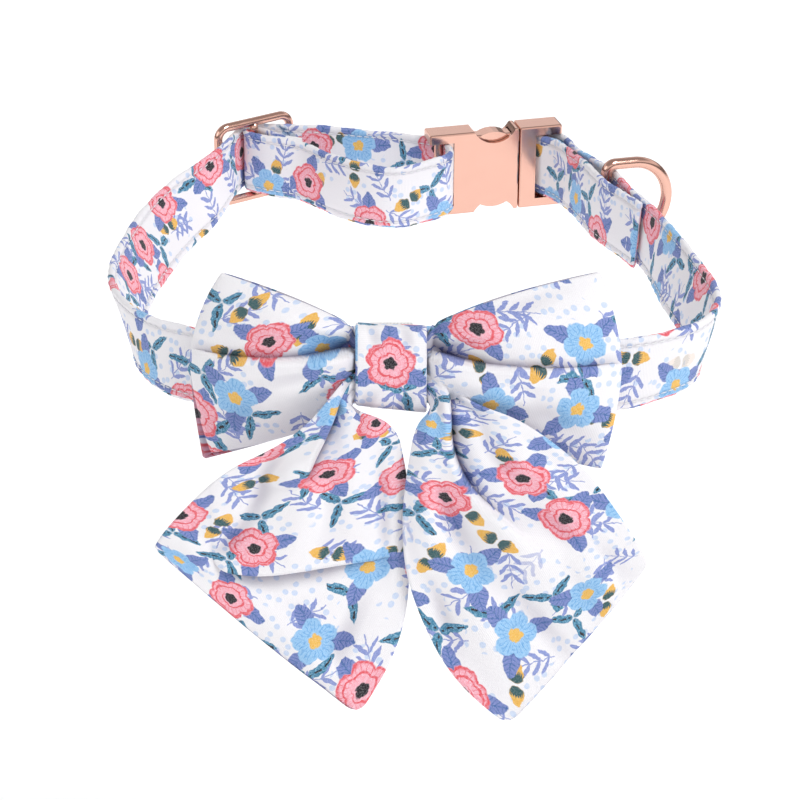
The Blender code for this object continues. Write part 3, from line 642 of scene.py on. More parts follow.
# %% The strap's surface
def strap_surface(line, run):
    """The cover: the section carried along the line. Its thickness shrinks by a bell along each
    seam, most at the stitches, and swells by slow sines of both parameters. The edges outside the
    seams wave a little, and both cut ends close in a quarter circle. Returns the grid, the way
    round the section and the shade, which is deepest in the seams between two stitches."""
    along, across, face = strap_frame(line)
    section, girth = round_flat(STRAP_WIDTH, STRAP_THICK, 41, 5)
    s = run[:, None]
    w = section[None, :, 0]
    t = section[None, :, 1]
    inside = STRAP_WIDTH / 2.0 - np.abs(w)
    seam = np.exp(-((inside - SEAM_IN) / 0.55) ** 2)
    pucker = 0.5 + 0.5 * np.cos(ROUND * s / STITCH_PITCH)
    slow = 0.10 * np.sin(s / 7.3 + w / 4.0) + 0.07 * np.sin(s / 3.9 - w / 5.1)
    thick = t * (1.0 - 0.40 * seam * (0.5 + 0.5 * pucker)) + slow * ease(inside / 4.0)
    rim = ease((SEAM_IN - inside) / 1.2)
    thick = thick * (1.0 + 0.14 * rim * np.cos(ROUND * s / (2.0 * STITCH_PITCH) + np.sign(t)))
    end = np.minimum(s, run[-1] - s)
    close = np.sqrt(np.clip(1.0 - (1.0 - np.clip(end / 1.1, 0.02, 1.0)) ** 2, 0.0, 1.0))
    wave = 0.16 * np.sin(s / 5.7) + 0.12 * np.sin(s / 2.3 + 1.0) + 0.08 * np.cos(ROUND * s / STITCH_PITCH)
    edge_wave = wave * np.sign(w) * ease((2.0 - inside) / 2.0)
    grid = (line[:, None, :3] + (w + edge_wave)[..., None] * across[:, None, :]
            + (thick * close)[..., None] * face[:, None, :])
    # The third value is painted shade: the cotton is darkened along both seams, most between two stitches.
    return grid, girth, seam * (0.22 + 0.24 * pucker)


def closed_tube(name, grid, girth, run, finish):
    """An object from rings of points, closed round the section, with a face on both ends."""
    rows, cols = grid.shape[:2]
    faces, place_faces = grid_faces(rows, cols, round_cols=True)
    u, v = np.meshgrid(run, girth, indexing="ij")
    ends = [np.arange(cols)[::-1], (rows - 1) * cols + np.arange(cols)]
    place_ends = [np.arange(cols)[::-1], (rows - 1) * (cols + 1) + np.arange(cols)]
    return new_object(name, grid, [*faces.tolist(), *[e.tolist() for e in ends]], finish,
                      np.stack([u, v], axis=-1), [place_faces, *place_ends])


strap_grid, strap_girth, strap_shade = strap_surface(strap_line, strap_run)
strap = closed_tube("strap_cover", strap_grid, strap_girth, strap_run, COTTON)
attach(strap, "collar")
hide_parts("neck_strap", "adjuster_loop", "ring_keeper")
set_shade(strap, strap_shade)

# %% [markdown]
# ## The topstitching
# Both long edges are topstitched, and short rows across the strap close the folded ends. One stitch
# is a small rounded bead of thread that dips into the cloth at both ends. It has few faces, because
# there are hundreds, and all of them go into one mesh.

# %% One stitch and a seam of them
STITCH_LONG = 2.1
STITCH_WIDE = 0.46
STITCH_HIGH = 0.36
BEAD_RINGS = 5
BEAD_SIDES = 6


def bead():
    """One stitch: rings of points whose size follows the 0.6th power of a half sine, so that it is
    an oval bead with its thickest place in the middle. Returns its points, its quads and its ends."""
    t = np.linspace(0.0, 1.0, BEAD_RINGS)[:, None]
    size = np.sin(math.pi * np.clip(t, 0.06, 0.94)) ** 0.6
    turn = ROUND * np.arange(BEAD_SIDES)[None, :] / BEAD_SIDES
    rings = np.broadcast_arrays((t - 0.5) * STITCH_LONG, size * np.cos(turn) * STITCH_WIDE / 2.0,
                                size * np.sin(turn) * STITCH_HIGH / 2.0)
    quads, _ = grid_faces(BEAD_RINGS, BEAD_SIDES, round_cols=True)
    first = np.arange(BEAD_SIDES)
    ends = np.stack([first[::-1], first + (BEAD_RINGS - 1) * BEAD_SIDES])
    return np.stack(rings, axis=-1).reshape(-1, 3), quads, ends


def sew(name, centres, along, side, out):
    """Beads at the given centres, turned so that they lie along the seam and face out."""
    base, quads, ends = bead()
    points = (centres[:, None, :] + base[None, :, 0:1] * along[:, None, :]
              + base[None, :, 1:2] * side[:, None, :] + base[None, :, 2:3] * out[:, None, :])
    first = (np.arange(len(centres)) * len(base))[:, None, None]
    faces = [(part[None] + first).reshape(-1, part.shape[1]).tolist() for part in (quads, ends)]
    piece = new_object(name, points, faces[0] + faces[1], THREAD)
    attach(piece, "collar")


# %% Stitches along the strap
STITCH_DEPTH = 0.82


def at_run(values, run, where):
    """Values at given distances along a line."""
    return np.stack([np.interp(where, run, values[:, k]) for k in range(values.shape[1])], axis=1)


def strap_seam(where, across_at, out_side):
    """Centres and directions of stitches that lie on one face of the strap."""
    along, across, face = strap_frame(strap_line)
    middle = at_run(strap_line[:, :3], strap_run, where)
    a = unit(at_run(along, strap_run, where))
    c = unit(at_run(across, strap_run, where))
    f = unit(at_run(face, strap_run, where)) * out_side
    high = STRAP_THICK / 2.0 * STITCH_DEPTH + 0.08
    return middle + across_at[:, None] * c + high * f, a, c, f


edge_runs = np.arange(3.0, strap_run[-1] - 3.0, STITCH_PITCH)
seams = [strap_seam(edge_runs, np.full(len(edge_runs), up * (STRAP_WIDTH / 2.0 - SEAM_IN)), out)
         for up in (-1.0, 1.0) for out in (-1.0, 1.0)]
sew("strap_edge_stitches", *[np.concatenate(parts) for parts in zip(*seams)])


# %% Stitches across the strap
CROSS_PLACES = [(-43.5, 83.2), (-40.5, 84.0), (66.2, 72.0), (84.8, 18.6)]
CROSS_REACH = 9.4


def nearest_run(x, y):
    """How far along the strap the line passes closest to a plan place."""
    return strap_run[np.argmin(np.hypot(strap_line[:, 0] - x, strap_line[:, 1] - y))]


cross_rows = []
for x, y in CROSS_PLACES:
    ups = np.arange(-CROSS_REACH, CROSS_REACH + 0.1, STITCH_PITCH)
    for out in (-1.0, 1.0):
        centre, a, c, f = strap_seam(np.full(len(ups), nearest_run(x, y)), ups, out)
        cross_rows.append((centre, c, a, f))
sew("strap_cross_stitches", *[np.concatenate(parts) for parts in zip(*cross_rows)])

# %% [markdown]
# ## The bow's own axes
# The bow leans back against the strap, so its shapes are easier to say in its own axes: across,
# forward out of the face, and up the face. One function turns them into the frame's axes.

# %% From the bow's axes to the frame's
BOW_CENTRE = np.array([-2.8, -104.9, 9.6])
BOW_TILT = math.radians(17.0)
ACROSS = np.array([1.0, 0.0, 0.0])
FORWARD = np.array([0.0, -math.cos(BOW_TILT), math.sin(BOW_TILT)])
UP = np.array([0.0, math.sin(BOW_TILT), math.cos(BOW_TILT)])
CLOTH = 1.6


def from_bow(points):
    """Points of across, forward and up, as places in the frame."""
    return BOW_CENTRE + points[..., 0:1] * ACROSS + points[..., 1:2] * FORWARD + points[..., 2:3] * UP


# %% [markdown]
# Two shapes make every fold. A crease is a line where one side of the cloth lies over the other,
# and a swell is one soft hump or hollow. Both only move the cloth forward, so they can be added up.

# %% Creases and swells
CREASE_SHARP = 0.35


def crease(along, off, rows, side, soft, low):
    """A fold as a forward offset. rows give the crease line, a place across for places along, and
    the fold's height there. A steep tanh of the distance from the line is the step. On the given
    side the cloth stands high and sinks back as an exponential of the distance over soft, and on
    the other side it dips by the share low."""
    line = curve_through(rows, 1.0, measured=2)
    path = np.interp(along, line[:, 0], line[:, 1])
    slope = np.interp(along, line[:, 0], np.gradient(line[:, 1], line[:, 0]))
    height = np.interp(along, line[:, 0], line[:, 2], left=0.0, right=0.0)
    d = side * (off - path) / np.sqrt(1.0 + slope ** 2)
    step = 0.5 + 0.5 * np.tanh(d / CREASE_SHARP)
    high = np.exp(-np.clip(d, 0.0, None) / (soft * 1.7))
    dip = np.exp(-np.clip(-d, 0.0, None) / (soft * 0.8))
    return height * (step * high - low * (1.0 - step) * dip)


def swell(across, up, rows):
    """Soft humps and hollows: each row is a middle, a direction in degrees, half a length, half a
    width and a height, and makes one oval bell."""
    total = 0.0
    for x, y, turn, long, wide, height in rows:
        c, s = math.cos(math.radians(turn)), math.sin(math.radians(turn))
        a = ((across - x) * c + (up - y) * s) / long
        b = ((up - y) * c - (across - x) * s) / wide
        total = total + height * np.exp(-a ** 2 - b ** 2)
    return total


# %% From a folded surface to a wall of cloth
EDGE_ROLL = 0.55


def cloth_wall(name, grid, thick, places, finish, shades):
    """A doubled cloth wall about a grid: the grid moved half a thickness to both sides along its
    own normal. Near the rim the thickness follows a quarter circle, so the edge is rolled. shades
    are the fold shades of the two sides."""
    rows, cols = grid.shape[:2]
    out = unit(np.cross(np.gradient(grid, axis=0), np.gradient(grid, axis=1)))
    rows_run = run_length(grid)
    cols_run = run_length(np.swapaxes(grid, 0, 1)).T
    rim = np.minimum(np.minimum(rows_run, rows_run[-1:] - rows_run),
                     np.minimum(cols_run, cols_run[:, -1:] - cols_run))
    roll = np.sqrt(1.0 - (1.0 - np.clip(rim / (thick * EDGE_ROLL), 0.0, 1.0)) ** 2) * 0.97 + 0.03
    half = out * (thick / 2.0 * roll)[..., None]
    front, place_front = grid_faces(rows, cols)
    back = front[:, ::-1] + rows * cols
    index = np.arange(rows * cols).reshape(rows, cols)
    border = np.concatenate([index[0, :], index[1:, -1], index[-1, -2::-1], index[-2:0:-1, 0]])
    after = np.roll(border, -1)
    side = np.stack([after, border, border + rows * cols, after + rows * cols], axis=1)
    place_side = np.stack([after, border, border, after], axis=1)
    points = np.concatenate([(grid + half).reshape(-1, 3), (grid - half).reshape(-1, 3)])
    faces = np.concatenate([front, back, side])
    place_faces = [place_front, place_front[:, ::-1], place_side]
    wall = new_object(name, from_bow(points), faces.tolist(), finish, places, place_faces)
    set_shade(wall, np.stack(np.broadcast_arrays(*shades)))
    return wall


# %% [markdown]
# ## The wings
# Each wing is a loop of doubled cotton, open above and below. It leaves the knot pinched to a third
# of its height, spreads out, turns round a soft outer fold and comes back behind. A tuck runs from
# the knot to the outer fold: the upper half rolls over and the lower half starts as a crisp edge
# under it. Small gathers fan out of the knot. On the left wing the back layer hangs lower and
# stands out past the fold, and it lies in shade. The wall is worked out as one surface: the first
# parameter goes from the knot along the front, round the fold and back, and the second up the face.

# %% Wing sizes
WING_SIZES = {
    "wing_left": dict(side=-1, reach=64.5, above=31.4, below=31.8, cut_above=11.0, cut_below=6.6,
                      curl=14.0, forward=0.4, back_lower=2.4, back_wider=5.0),
    "wing_right": dict(side=1, reach=72.5, above=32.0, below=34.3, cut_above=7.5, cut_below=6.0,
                       curl=0.0, forward=0.9, back_lower=0.0, back_wider=0.0),
}
WING_START = 1.2
WING_CLEAR = 14.0
WING_PINCH = 9.8
WING_FRONT_BULGE = 8.0
WING_BACK_BULGE = 2.4
WING_LAYER_GAP = 2.6
# Painted shade on the faces of the wing and tail walls that look into the loop or backwards.
INSIDE_SHADE = 0.75

# %% Wing folds
WING_TUCKS = {
    "wing_left": [
        # across, up, height
        (9.0, 5.8, 3.0), (11.5, 5.4, 6.4), (25.6, 3.5, 5.4), (41.5, 2.5, 3.6), (55.7, 2.5, 2.6),
        (68.0, 3.8, 2.0),
    ],
    "wing_right": [
        (9.0, 5.0, 3.0), (11.6, 4.5, 6.0), (24.9, 1.9, 5.0), (38.0, 0.8, 3.4), (51.8, 0.3, 2.5),
        (74.0, 0.9, 2.0),
    ],
}
WING_SWELLS = {
    "wing_left": [
        # across, up, direction, half length, half width, height
        (30.0, 16.0, 24.0, 17.0, 4.4, 2.2), (18.0, 11.5, 22.0, 8.0, 2.2, 1.3),
        (40.0, 9.0, 8.0, 15.0, 4.0, -1.0), (31.0, -7.0, -18.0, 14.0, 3.6, 1.6),
        (48.0, -15.0, -30.0, 12.0, 4.5, -1.4), (17.0, -6.5, -30.0, 6.0, 2.0, -1.3),
    ],
    "wing_right": [
        (28.0, 12.0, 16.0, 15.0, 3.6, 2.0), (44.0, 20.0, 26.0, 14.0, 4.6, -1.2),
        (20.0, 7.8, 8.0, 8.0, 1.9, -1.3), (32.0, -6.0, -12.0, 13.0, 3.4, 1.8),
        (52.0, -15.0, -35.0, 14.0, 5.0, -1.5), (60.0, 9.0, 70.0, 10.0, 5.0, 1.0),
    ],
}


# %% The wing's surface
def wing_surface(name, size, around, rows):
    """The wing's middle surface in bow axes, its places on the flat cloth and its shade. run goes
    from -1 at the knot in front, through nought at the outer fold, to 1 at the knot behind. The
    place across is the reach times one less a power of run. The half height grows from the pinch
    to the outer end by a root of the spread. Both layers stand off a curled middle by a bulge, the
    front one also by the tuck, the swells and the gathers, and they close at the outer fold."""
    turn = np.linspace(-1.0, 1.0, around)
    run = (np.sign(turn) * np.abs(turn) ** 1.25)[:, None]
    tall = np.linspace(-1.0, 1.0, rows)[None, :]
    after = np.clip(run, 0.0, 1.0)
    stand_out = np.sqrt(np.clip(after / 0.12, 0.0, 1.0)) * (1.0 - after) * np.clip(-tall, 0.0, 1.0)
    part = 1.0 - np.abs(run) ** 1.7
    cut = np.where(tall > 0, size["cut_above"], size["cut_below"]) * np.abs(tall) ** 1.6
    reach = size["reach"] - cut + stand_out * size["back_wider"]
    across = WING_START + (reach - WING_START) * part
    spread = np.clip((across - WING_CLEAR) / (size["reach"] - WING_CLEAR), 0.0, 1.1)
    end_height = np.where(tall > 0, size["above"], size["below"] + stand_out * size["back_lower"])
    shoulder = 3.6 * ease((across - 11.4) / 1.6) * np.exp(-np.clip(across - 13.0, 0.0, None) / 4.0)
    height = (WING_PINCH + shoulder + (end_height - WING_PINCH) * spread ** 0.55) * tall
    crisp = 16.0 + 60.0 * np.clip(-tall, 0.0, 1.0) * (size["back_wider"] > 0.0)
    closing = np.sqrt(np.clip(1.0 - part ** crisp, 0.0, 1.0))
    puff = np.sin(math.pi * np.clip(spread, 0.0, 1.0) ** 0.9)
    fold = crease(across, height, WING_TUCKS[name], side=-1.0, soft=5.5, low=0.8) * closing
    front = WING_FRONT_BULGE * puff * (1.0 - 0.94 * tall ** 2)
    front = front + 2.4 * (1.0 - 0.7 * tall ** 4) * spread ** 0.5
    loose = ease((across - 10.6) / 3.0)
    gathers = np.exp(-spread / 0.20) * ease((across - 12.0) / 3.0)
    relief = (fold + swell(across, height, WING_SWELLS[name])) * loose
    relief = relief + 0.8 * gathers * np.cos(9.0 * tall + 1.3 * size["side"])
    front = front + relief + 0.3 * np.sin(across / 6.0 + 2.0 * tall) * puff
    # Painted shade: darker where the front lies below its surroundings in a fold, and darker still close to
    # the knot.
    shade = depth_shade(relief, 13, 2.8) + 0.55 * np.exp(-np.clip(across - 11.0, 0.0, None) / 1.6)
    back = WING_LAYER_GAP * (1.0 - 0.4 * tall ** 4) + WING_BACK_BULGE * puff * (1.0 - 0.9 * tall ** 2)
    layer = np.where(run <= 0, front, -back) * closing
    middle = size["forward"] - 1.0 - size["curl"] * spread ** 1.5
    points = np.stack(np.broadcast_arrays(size["side"] * across, middle + layer, height), axis=-1)
    places = np.stack(np.broadcast_arrays(np.sign(run) * (reach - across) * 1.04 + 0 * tall,
                                          height * 0.55 + tall * 0.45 * size["above"]), axis=-1)
    # Painted shade on the left wing's back layer where it stands out past the front one.
    behind = 0.95 * ease(stand_out / 0.1) * np.exp(-after / 0.12) * (size["back_wider"] > 0.0)
    return points, places, np.clip(np.where(run <= 0, shade, behind), 0.0, 1.0)


# %% Both wings
for number, (name, size) in enumerate(WING_SIZES.items()):
    points, places, shade = wing_surface(name, size, around=261, rows=161)
    places = places + np.array([137.0 + 211.0 * number, 313.0])
    shades = (INSIDE_SHADE, shade) if size["side"] > 0 else (shade, INSIDE_SHADE)
    wing = cloth_wall(name + "_cloth", points, CLOTH, places, COTTON, shades)
    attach(wing, "collar")
    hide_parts(name)

# %% [markdown]
# ## The tails
# Each tail is a doubled strip that widens from the knot to a slanted, pointed end. Its edges are
# measured rows, and the cloth between them hangs in soft folds: deep pleats at the knot that die
# away downwards, and one slack tuck across the left tail. The turned edge at the end lies in
# shade, deeper on the left tail, whose end curls away from the light.

# %% Tail outlines
TAIL_ROWS = {
    "tail_left": [
        # inner across, inner up, outer across, outer up, forward
        (-1.2, -9.8, -1.2, -1.5, 2.9), (-12.0, -10.0, -12.0, -1.5, 3.0),
        (-12.7, -12.6, -16.5, -5.0, 5.4), (-2.6, -16.2, -22.0, -11.0, 9.0),
        (3.4, -24.6, -34.0, -21.6, 10.3), (5.6, -39.0, -49.0, -29.6, 11.2),
        (5.7, -58.2, -62.5, -40.6, 11.6), (5.0, -75.2, -70.1, -48.6, 12.0),
        (-0.1, -92.9, -73.6, -53.1, 12.6), (-10.7, -111.2, -75.2, -55.9, 13.2),
    ],
    "tail_right": [
        (1.2, -9.8, 1.2, -1.5, 2.9), (12.0, -10.0, 12.0, -1.8, 3.0),
        (12.6, -12.4, 17.0, -4.0, 5.6), (9.1, -15.8, 24.0, -8.5, 9.5),
        (6.1, -24.9, 36.0, -12.9, 12.0), (3.9, -39.6, 51.9, -22.3, 14.0),
        (4.2, -59.2, 63.9, -33.8, 15.0), (8.5, -75.4, 73.4, -46.8, 15.6),
        (20.4, -97.9, 79.0, -55.9, 15.8), (37.4, -113.9, 81.0, -61.0, 16.0),
    ],
}
TAIL_PLEATS = 2.5
TAIL_PLEAT_DEPTH = 1.6
TAIL_END_BOW = 1.2
TAIL_CORNER = 5.0
# Painted shade along the turned end edge of each tail.
TAIL_END_SHADE = {"tail_left": 0.9, "tail_right": 0.2}

# %% Tail folds
TAIL_CREASES = {
    "tail_left": [
        # way of the crease line, side, soft, low, and rows of along, off and height
        ("down", -1.0, 7.5, 0.9, [(4.0, -13.5, 1.0), (8.0, -16.2, 4.0), (12.7, -17.9, 6.4),
                                  (21.7, -21.8, 6.6), (29.0, -25.4, 4.0), (36.0, -28.0, 0.0)]),
        ("across", 1.0, 8.0, 0.6, [(-57.0, -58.0, 0.0), (-53.5, -61.8, 2.0), (-48.0, -63.3, 3.2),
                                   (-41.0, -63.7, 3.8), (-32.0, -62.7, 3.8), (-21.4, -61.3, 3.0),
                                   (-12.0, -60.0, 1.8), (8.0, -57.5, 0.0)]),
    ],
    "tail_right": [
        ("down", -1.0, 5.5, 1.0, [(3.0, 16.2, 2.0), (7.0, 17.4, 5.4), (14.4, 18.1, 6.6),
                                  (23.7, 18.8, 6.6), (31.0, 21.4, 5.6), (36.5, 25.0, 3.8),
                                  (44.8, 34.3, 1.8), (54.0, 45.0, 0.0)]),
    ],
}
TAIL_SWELLS = {
    "tail_left": [
        # across, up, direction, half length, half width, height
        (-41.0, -38.0, 68.0, 14.0, 4.2, -3.2), (-51.5, -54.0, 50.0, 9.0, 3.6, -2.4),
        (-27.0, -45.0, 75.0, 16.0, 6.5, 2.6), (-12.0, -33.0, 100.0, 15.0, 5.0, 2.4),
        (-2.5, -44.0, 92.0, 20.0, 3.2, -1.8), (-35.0, -82.0, -38.0, 24.0, 6.0, 2.0),
        (-14.0, -84.0, 65.0, 17.0, 5.0, -2.0), (-60.0, -58.0, -35.0, 12.0, 3.6, 2.0),
        (-33.0, -31.0, 35.0, 9.0, 3.0, 2.2), (-20.0, -97.0, -45.0, 14.0, 3.5, 1.4),
    ],
    "tail_right": [
        (30.0, -21.0, -58.0, 13.0, 4.4, -3.2), (42.0, -27.0, -38.0, 15.0, 4.6, 2.6),
        (37.0, -50.0, -45.0, 17.0, 4.5, 2.2), (21.0, -50.0, -62.0, 16.0, 5.0, -2.6),
        (11.0, -40.0, 95.0, 20.0, 4.2, 2.2), (55.0, -50.0, -32.0, 17.0, 4.6, -2.2),
        (29.0, -80.0, -60.0, 22.0, 5.5, 2.2), (46.0, -78.0, -50.0, 20.0, 5.0, -2.4),
        (64.0, -60.0, -62.0, 16.0, 4.5, 2.0), (16.0, -76.0, -72.0, 14.0, 3.6, -1.5),
    ],
}


# %% The tail's surface
def round_corner(a, b):
    """A square corner bent to a quarter circle: both parameters run from 0 to 1 at the corner."""
    return a * np.sqrt(1.0 - b ** 2 / 2.0), b * np.sqrt(1.0 - a ** 2 / 2.0)


def tail_surface(name, step, across_count):
    """The tail's middle surface, its places on the flat cloth and its shade. v runs from the knot to
    the end and u from the outer to the inner edge, in straight lines row by row. The surface is
    moved forward by pleats, which are a cosine of u that dies away with v, by a belly, which is a
    product of half sines, and by the creases and swells. Both end corners are bent to a quarter
    circle."""
    line = curve_through(TAIL_ROWS[name], step, measured=5)
    run = run_length(line)
    v, u = np.meshgrid(run / run[-1], np.linspace(0.0, 1.0, across_count), indexing="ij")
    end_wide = np.linalg.norm(line[-1, 0:2] - line[-1, 2:4])
    edge_v = TAIL_CORNER / run[-1]
    edge_u = TAIL_CORNER / end_wide
    b = np.clip((v - 1.0 + edge_v) / edge_v, 0.0, 1.0)
    for sign in (-1.0, 1.0):
        a = np.clip((sign * (u - 0.5) - 0.5 + edge_u) / edge_u, 0.0, 1.0)
        new_a, new_b = round_corner(a, b)
        inside = (a > 0.0) & (b > 0.0)
        u = np.where(inside, 0.5 + sign * (0.5 - edge_u + edge_u * new_a), u)
        v = np.where(inside, 1.0 - edge_v + edge_v * new_b, v)
    edge = [np.interp(v * run[-1], run, line[:, k]) for k in range(5)]
    end_bow = TAIL_END_BOW * v ** 8 * np.sin(math.pi * u)
    across = edge[2] * (1.0 - u) + edge[0] * u
    up = edge[3] * (1.0 - u) + edge[1] * u - end_bow
    loose = np.clip((v - 0.07) / 0.09, 0.0, 1.0)
    pleat = TAIL_PLEAT_DEPTH * np.exp(-v / 0.25) * np.cos(ROUND * TAIL_PLEATS * u)
    belly = 2.0 * np.sin(math.pi * u) * np.sin(math.pi * v)
    folds = swell(across, up, TAIL_SWELLS[name])
    for way, side, soft, low, rows in TAIL_CREASES[name]:
        along, off = (across, up) if way == "across" else (-up, across)
        folds = folds + crease(along, off, rows, side, soft, low)
    relief = (pleat + folds) * loose
    forward = edge[4] + relief + belly * loose
    # Painted shade: darker in the folds, close under the knot and along the turned end edge.
    shade = depth_shade(relief, 14, 2.8) + 0.5 * np.exp(-v / 0.05)
    shade = shade + TAIL_END_SHADE[name] * ease((v - 1.0) * run[-1] / 0.5 + 2.6)
    wide = np.hypot(edge[0] - edge[2], edge[1] - edge[3])
    places = np.stack([u * (wide * 0.8 + 0.2 * wide.max()), v * run[-1] * 0.72], axis=-1)
    return np.stack([across, forward, up], axis=-1), places, np.clip(shade, 0.0, 1.0)


# %% Both tails
for number, name in enumerate(TAIL_ROWS):
    points, places, shade = tail_surface(name, step=0.6, across_count=171)
    places = places + np.array([491.0 + 173.0 * number, 57.0])
    shades = (shade, INSIDE_SHADE) if name == "tail_right" else (INSIDE_SHADE, shade)
    tail = cloth_wall(name + "_cloth", points, CLOTH, places, COTTON, shades)
    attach(tail, "collar")
    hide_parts(name)


# %% [markdown]
# ## The knot band and its holder
# A short band of doubled cotton is wrapped round the middle of the bow and sewn behind. It is a
# closed loop, so it is a flat section carried round a path. The band is pulled over soft cloth, so
# its path is an oval with blunt corners, and its front bulges like a pillow. The holder behind it
# is a plain elastic loop round the strap, whose path is a rectangle with round corners.

# %% Paths and bands
KNOT_WIDTH = 22.6
KNOT_HEIGHT = 27.6
KNOT_DEPTH = 13.0
HOLDER_WIDTH = 14.0
HOLDER_THICK = 0.8
HOLDER_DROP = -1.0


def rounded_loop(width, height, corner, per_corner, per_side):
    """Points round a rectangle with round corners, the same number on each side."""
    turn = np.radians(np.linspace(0.0, 90.0, per_corner + 1))
    quarters = []
    for quarter, (sx, sy) in enumerate([(1, 1), (-1, 1), (-1, -1), (1, -1)]):
        angle = turn + quarter * math.pi / 2.0
        middle = np.array([sx * (width / 2.0 - corner), sy * (height / 2.0 - corner)])
        quarters.append(middle + corner * np.stack([np.cos(angle), np.sin(angle)], axis=1))
    joined = []
    for here, there in zip(quarters, quarters[1:] + quarters[:1]):
        share = np.linspace(0.0, 1.0, per_side + 2)[1:-1, None]
        joined += [here, here[-1] * (1.0 - share) + there[0] * share]
    return np.concatenate(joined)


def band_surface(loop, width, thick, centre, across_count):
    """Rings of a flat section, carried round a loop of forward and up."""
    section, girth = round_flat(width, thick, across_count, 4)
    step = unit(np.roll(loop, -1, axis=0) - np.roll(loop, 1, axis=0))
    out = np.stack([step[:, 1], -step[:, 0]], axis=1)
    w = section[None, :, 0]
    t = section[None, :, 1]
    forward, up = [loop[:, k:k + 1] + t * out[:, k:k + 1] for k in (0, 1)]
    return np.stack(np.broadcast_arrays(w, forward, up), axis=-1) + np.asarray(centre), girth


def closed_band(name, grid, girth, run, finish, shift):
    """An object from a grid that closes on itself both ways."""
    rows, cols = grid.shape[:2]
    faces, place_faces = grid_faces(rows, cols, round_rows=True, round_cols=True)
    u, v = np.meshgrid(run + shift[0], girth + shift[1], indexing="ij")
    return new_object(name, from_bow(grid), faces.tolist(), finish, np.stack([u, v], axis=-1), [place_faces])


def loop_run(loop):
    """Distances round a closed loop, with the whole round as the last one."""
    return run_length(np.concatenate([loop, loop[:1]]))


# %% Knot band
def pillow_loop(depth, height, count):
    """Points round an oval with blunt corners, whose powers of forward and up add up to one. It
    starts at the back, where the band is sewn."""
    turn = np.radians(np.linspace(180.0, 540.0, count + 1)[:-1])
    c, s = np.cos(turn), np.sin(turn)
    return np.stack([depth / 2.0 * np.sign(c) * np.abs(c) ** 0.62,
                     height / 2.0 * np.sign(s) * np.abs(s) ** 0.52], axis=1)


def knot_shape(loop):
    """The knot band: its top slants a little and its bottom more, its sides draw in by the sixth
    power of the place across, and shallow sines near the top and the bottom are the wrinkles where
    it was pulled tight. The shade lies under its lower edge and in the wrinkles."""
    grid, girth = band_surface(loop, KNOT_WIDTH, CLOTH, (0.0, 0.0, 0.0), 61)
    w = grid[..., 0] / (KNOT_WIDTH / 2.0)
    up = grid[..., 2] / (KNOT_HEIGHT / 2.0)
    front = ease(grid[..., 1] / 3.0)
    lower = np.clip(-up, 0.0, 1.0)
    upper = np.clip(up, 0.0, 1.0)
    grid[..., 2] += -1.2 * w * lower ** 2 + 0.5 * lower ** 2 - 0.5 * w * upper ** 2
    wrinkle = 0.28 * np.sin(7.0 * w + 2.0 * up) * np.exp(-(up - 0.75) ** 2 / 0.06)
    wrinkle += 0.34 * np.sin(6.0 * w - 3.0 * up) * np.exp(-(up + 0.8) ** 2 / 0.06)
    grid[..., 1] += front * (wrinkle - 0.7 * np.abs(w) ** 6)
    # The third value is painted shade: under the band's lower edge and in the hollows of its wrinkles.
    return grid, girth, 0.6 * ease((-up - 0.80) / 0.2) + np.clip(-wrinkle * 1.2, 0.0, 0.4) * front


knot_loop = pillow_loop(KNOT_DEPTH - CLOTH, KNOT_HEIGHT - CLOTH, 180)
knot_grid, knot_girth, knot_shade = knot_shape(knot_loop)
knot = closed_band("knot_band_cloth", knot_grid, knot_girth, loop_run(knot_loop), COTTON, (26.5, 718.0))
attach(knot, "collar")
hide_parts("knot_band")
set_shade(knot, knot_shade)

# %% Elastic holder
holder_inside = STRAP_THICK + 2.0 * GAP + 0.8
holder_high = STRAP_WIDTH + 2.0 * GAP + HOLDER_THICK
holder_loop = rounded_loop(holder_inside + HOLDER_THICK, holder_high, 1.4, 5, 18)
holder_behind = -(KNOT_DEPTH / 2.0 + GAP + HOLDER_THICK + holder_inside / 2.0)
holder_grid, holder_girth = band_surface(holder_loop, HOLDER_WIDTH, HOLDER_THICK,
                                         (0.0, holder_behind, HOLDER_DROP), 29)
holder = closed_band("bow_holder_elastic", holder_grid, holder_girth, loop_run(holder_loop),
                     ELASTIC, (0.0, 0.0))
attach(holder, "collar")
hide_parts("bow_holder")

# %% [markdown]
# ## The hardware
# The slider and the D-ring are bent from round wire and plated, so both are a circle carried along
# a flat closed line. A wire shows its light as long stripes, and those need a smooth round section.
# The slider also has a straight middle bar, which the strap's end is sewn round. The two halves of
# the buckle are castings with flat faces and small bevels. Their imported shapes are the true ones,
# so they stay and only take the plating.

# %% Wires
WIRE_STEP = 0.6


def even_loop(outline):
    """Points at even distances along a closed outline."""
    closed = np.concatenate([outline, outline[:1]])
    run = run_length(closed)
    where = np.linspace(0.0, run[-1], int(run[-1] / WIRE_STEP) + 1)[:-1]
    return np.stack([np.interp(where, run, closed[:, k]) for k in (0, 1)], axis=1)


def wire_rings(path, normal, radius, sides, closed=True):
    """Circles across a flat path. Each lies between the normal of the path's plane and the
    direction in the plane that is square to the path."""
    ahead = np.roll(path, -1, axis=0) - np.roll(path, 1, axis=0) if closed else np.gradient(path, axis=0)
    side = np.cross(normal, unit(ahead))
    turn = ROUND * np.arange(sides)[None, :, None] / sides
    return path[:, None, :] + radius * (np.cos(turn) * side[:, None, :] + np.sin(turn) * normal)


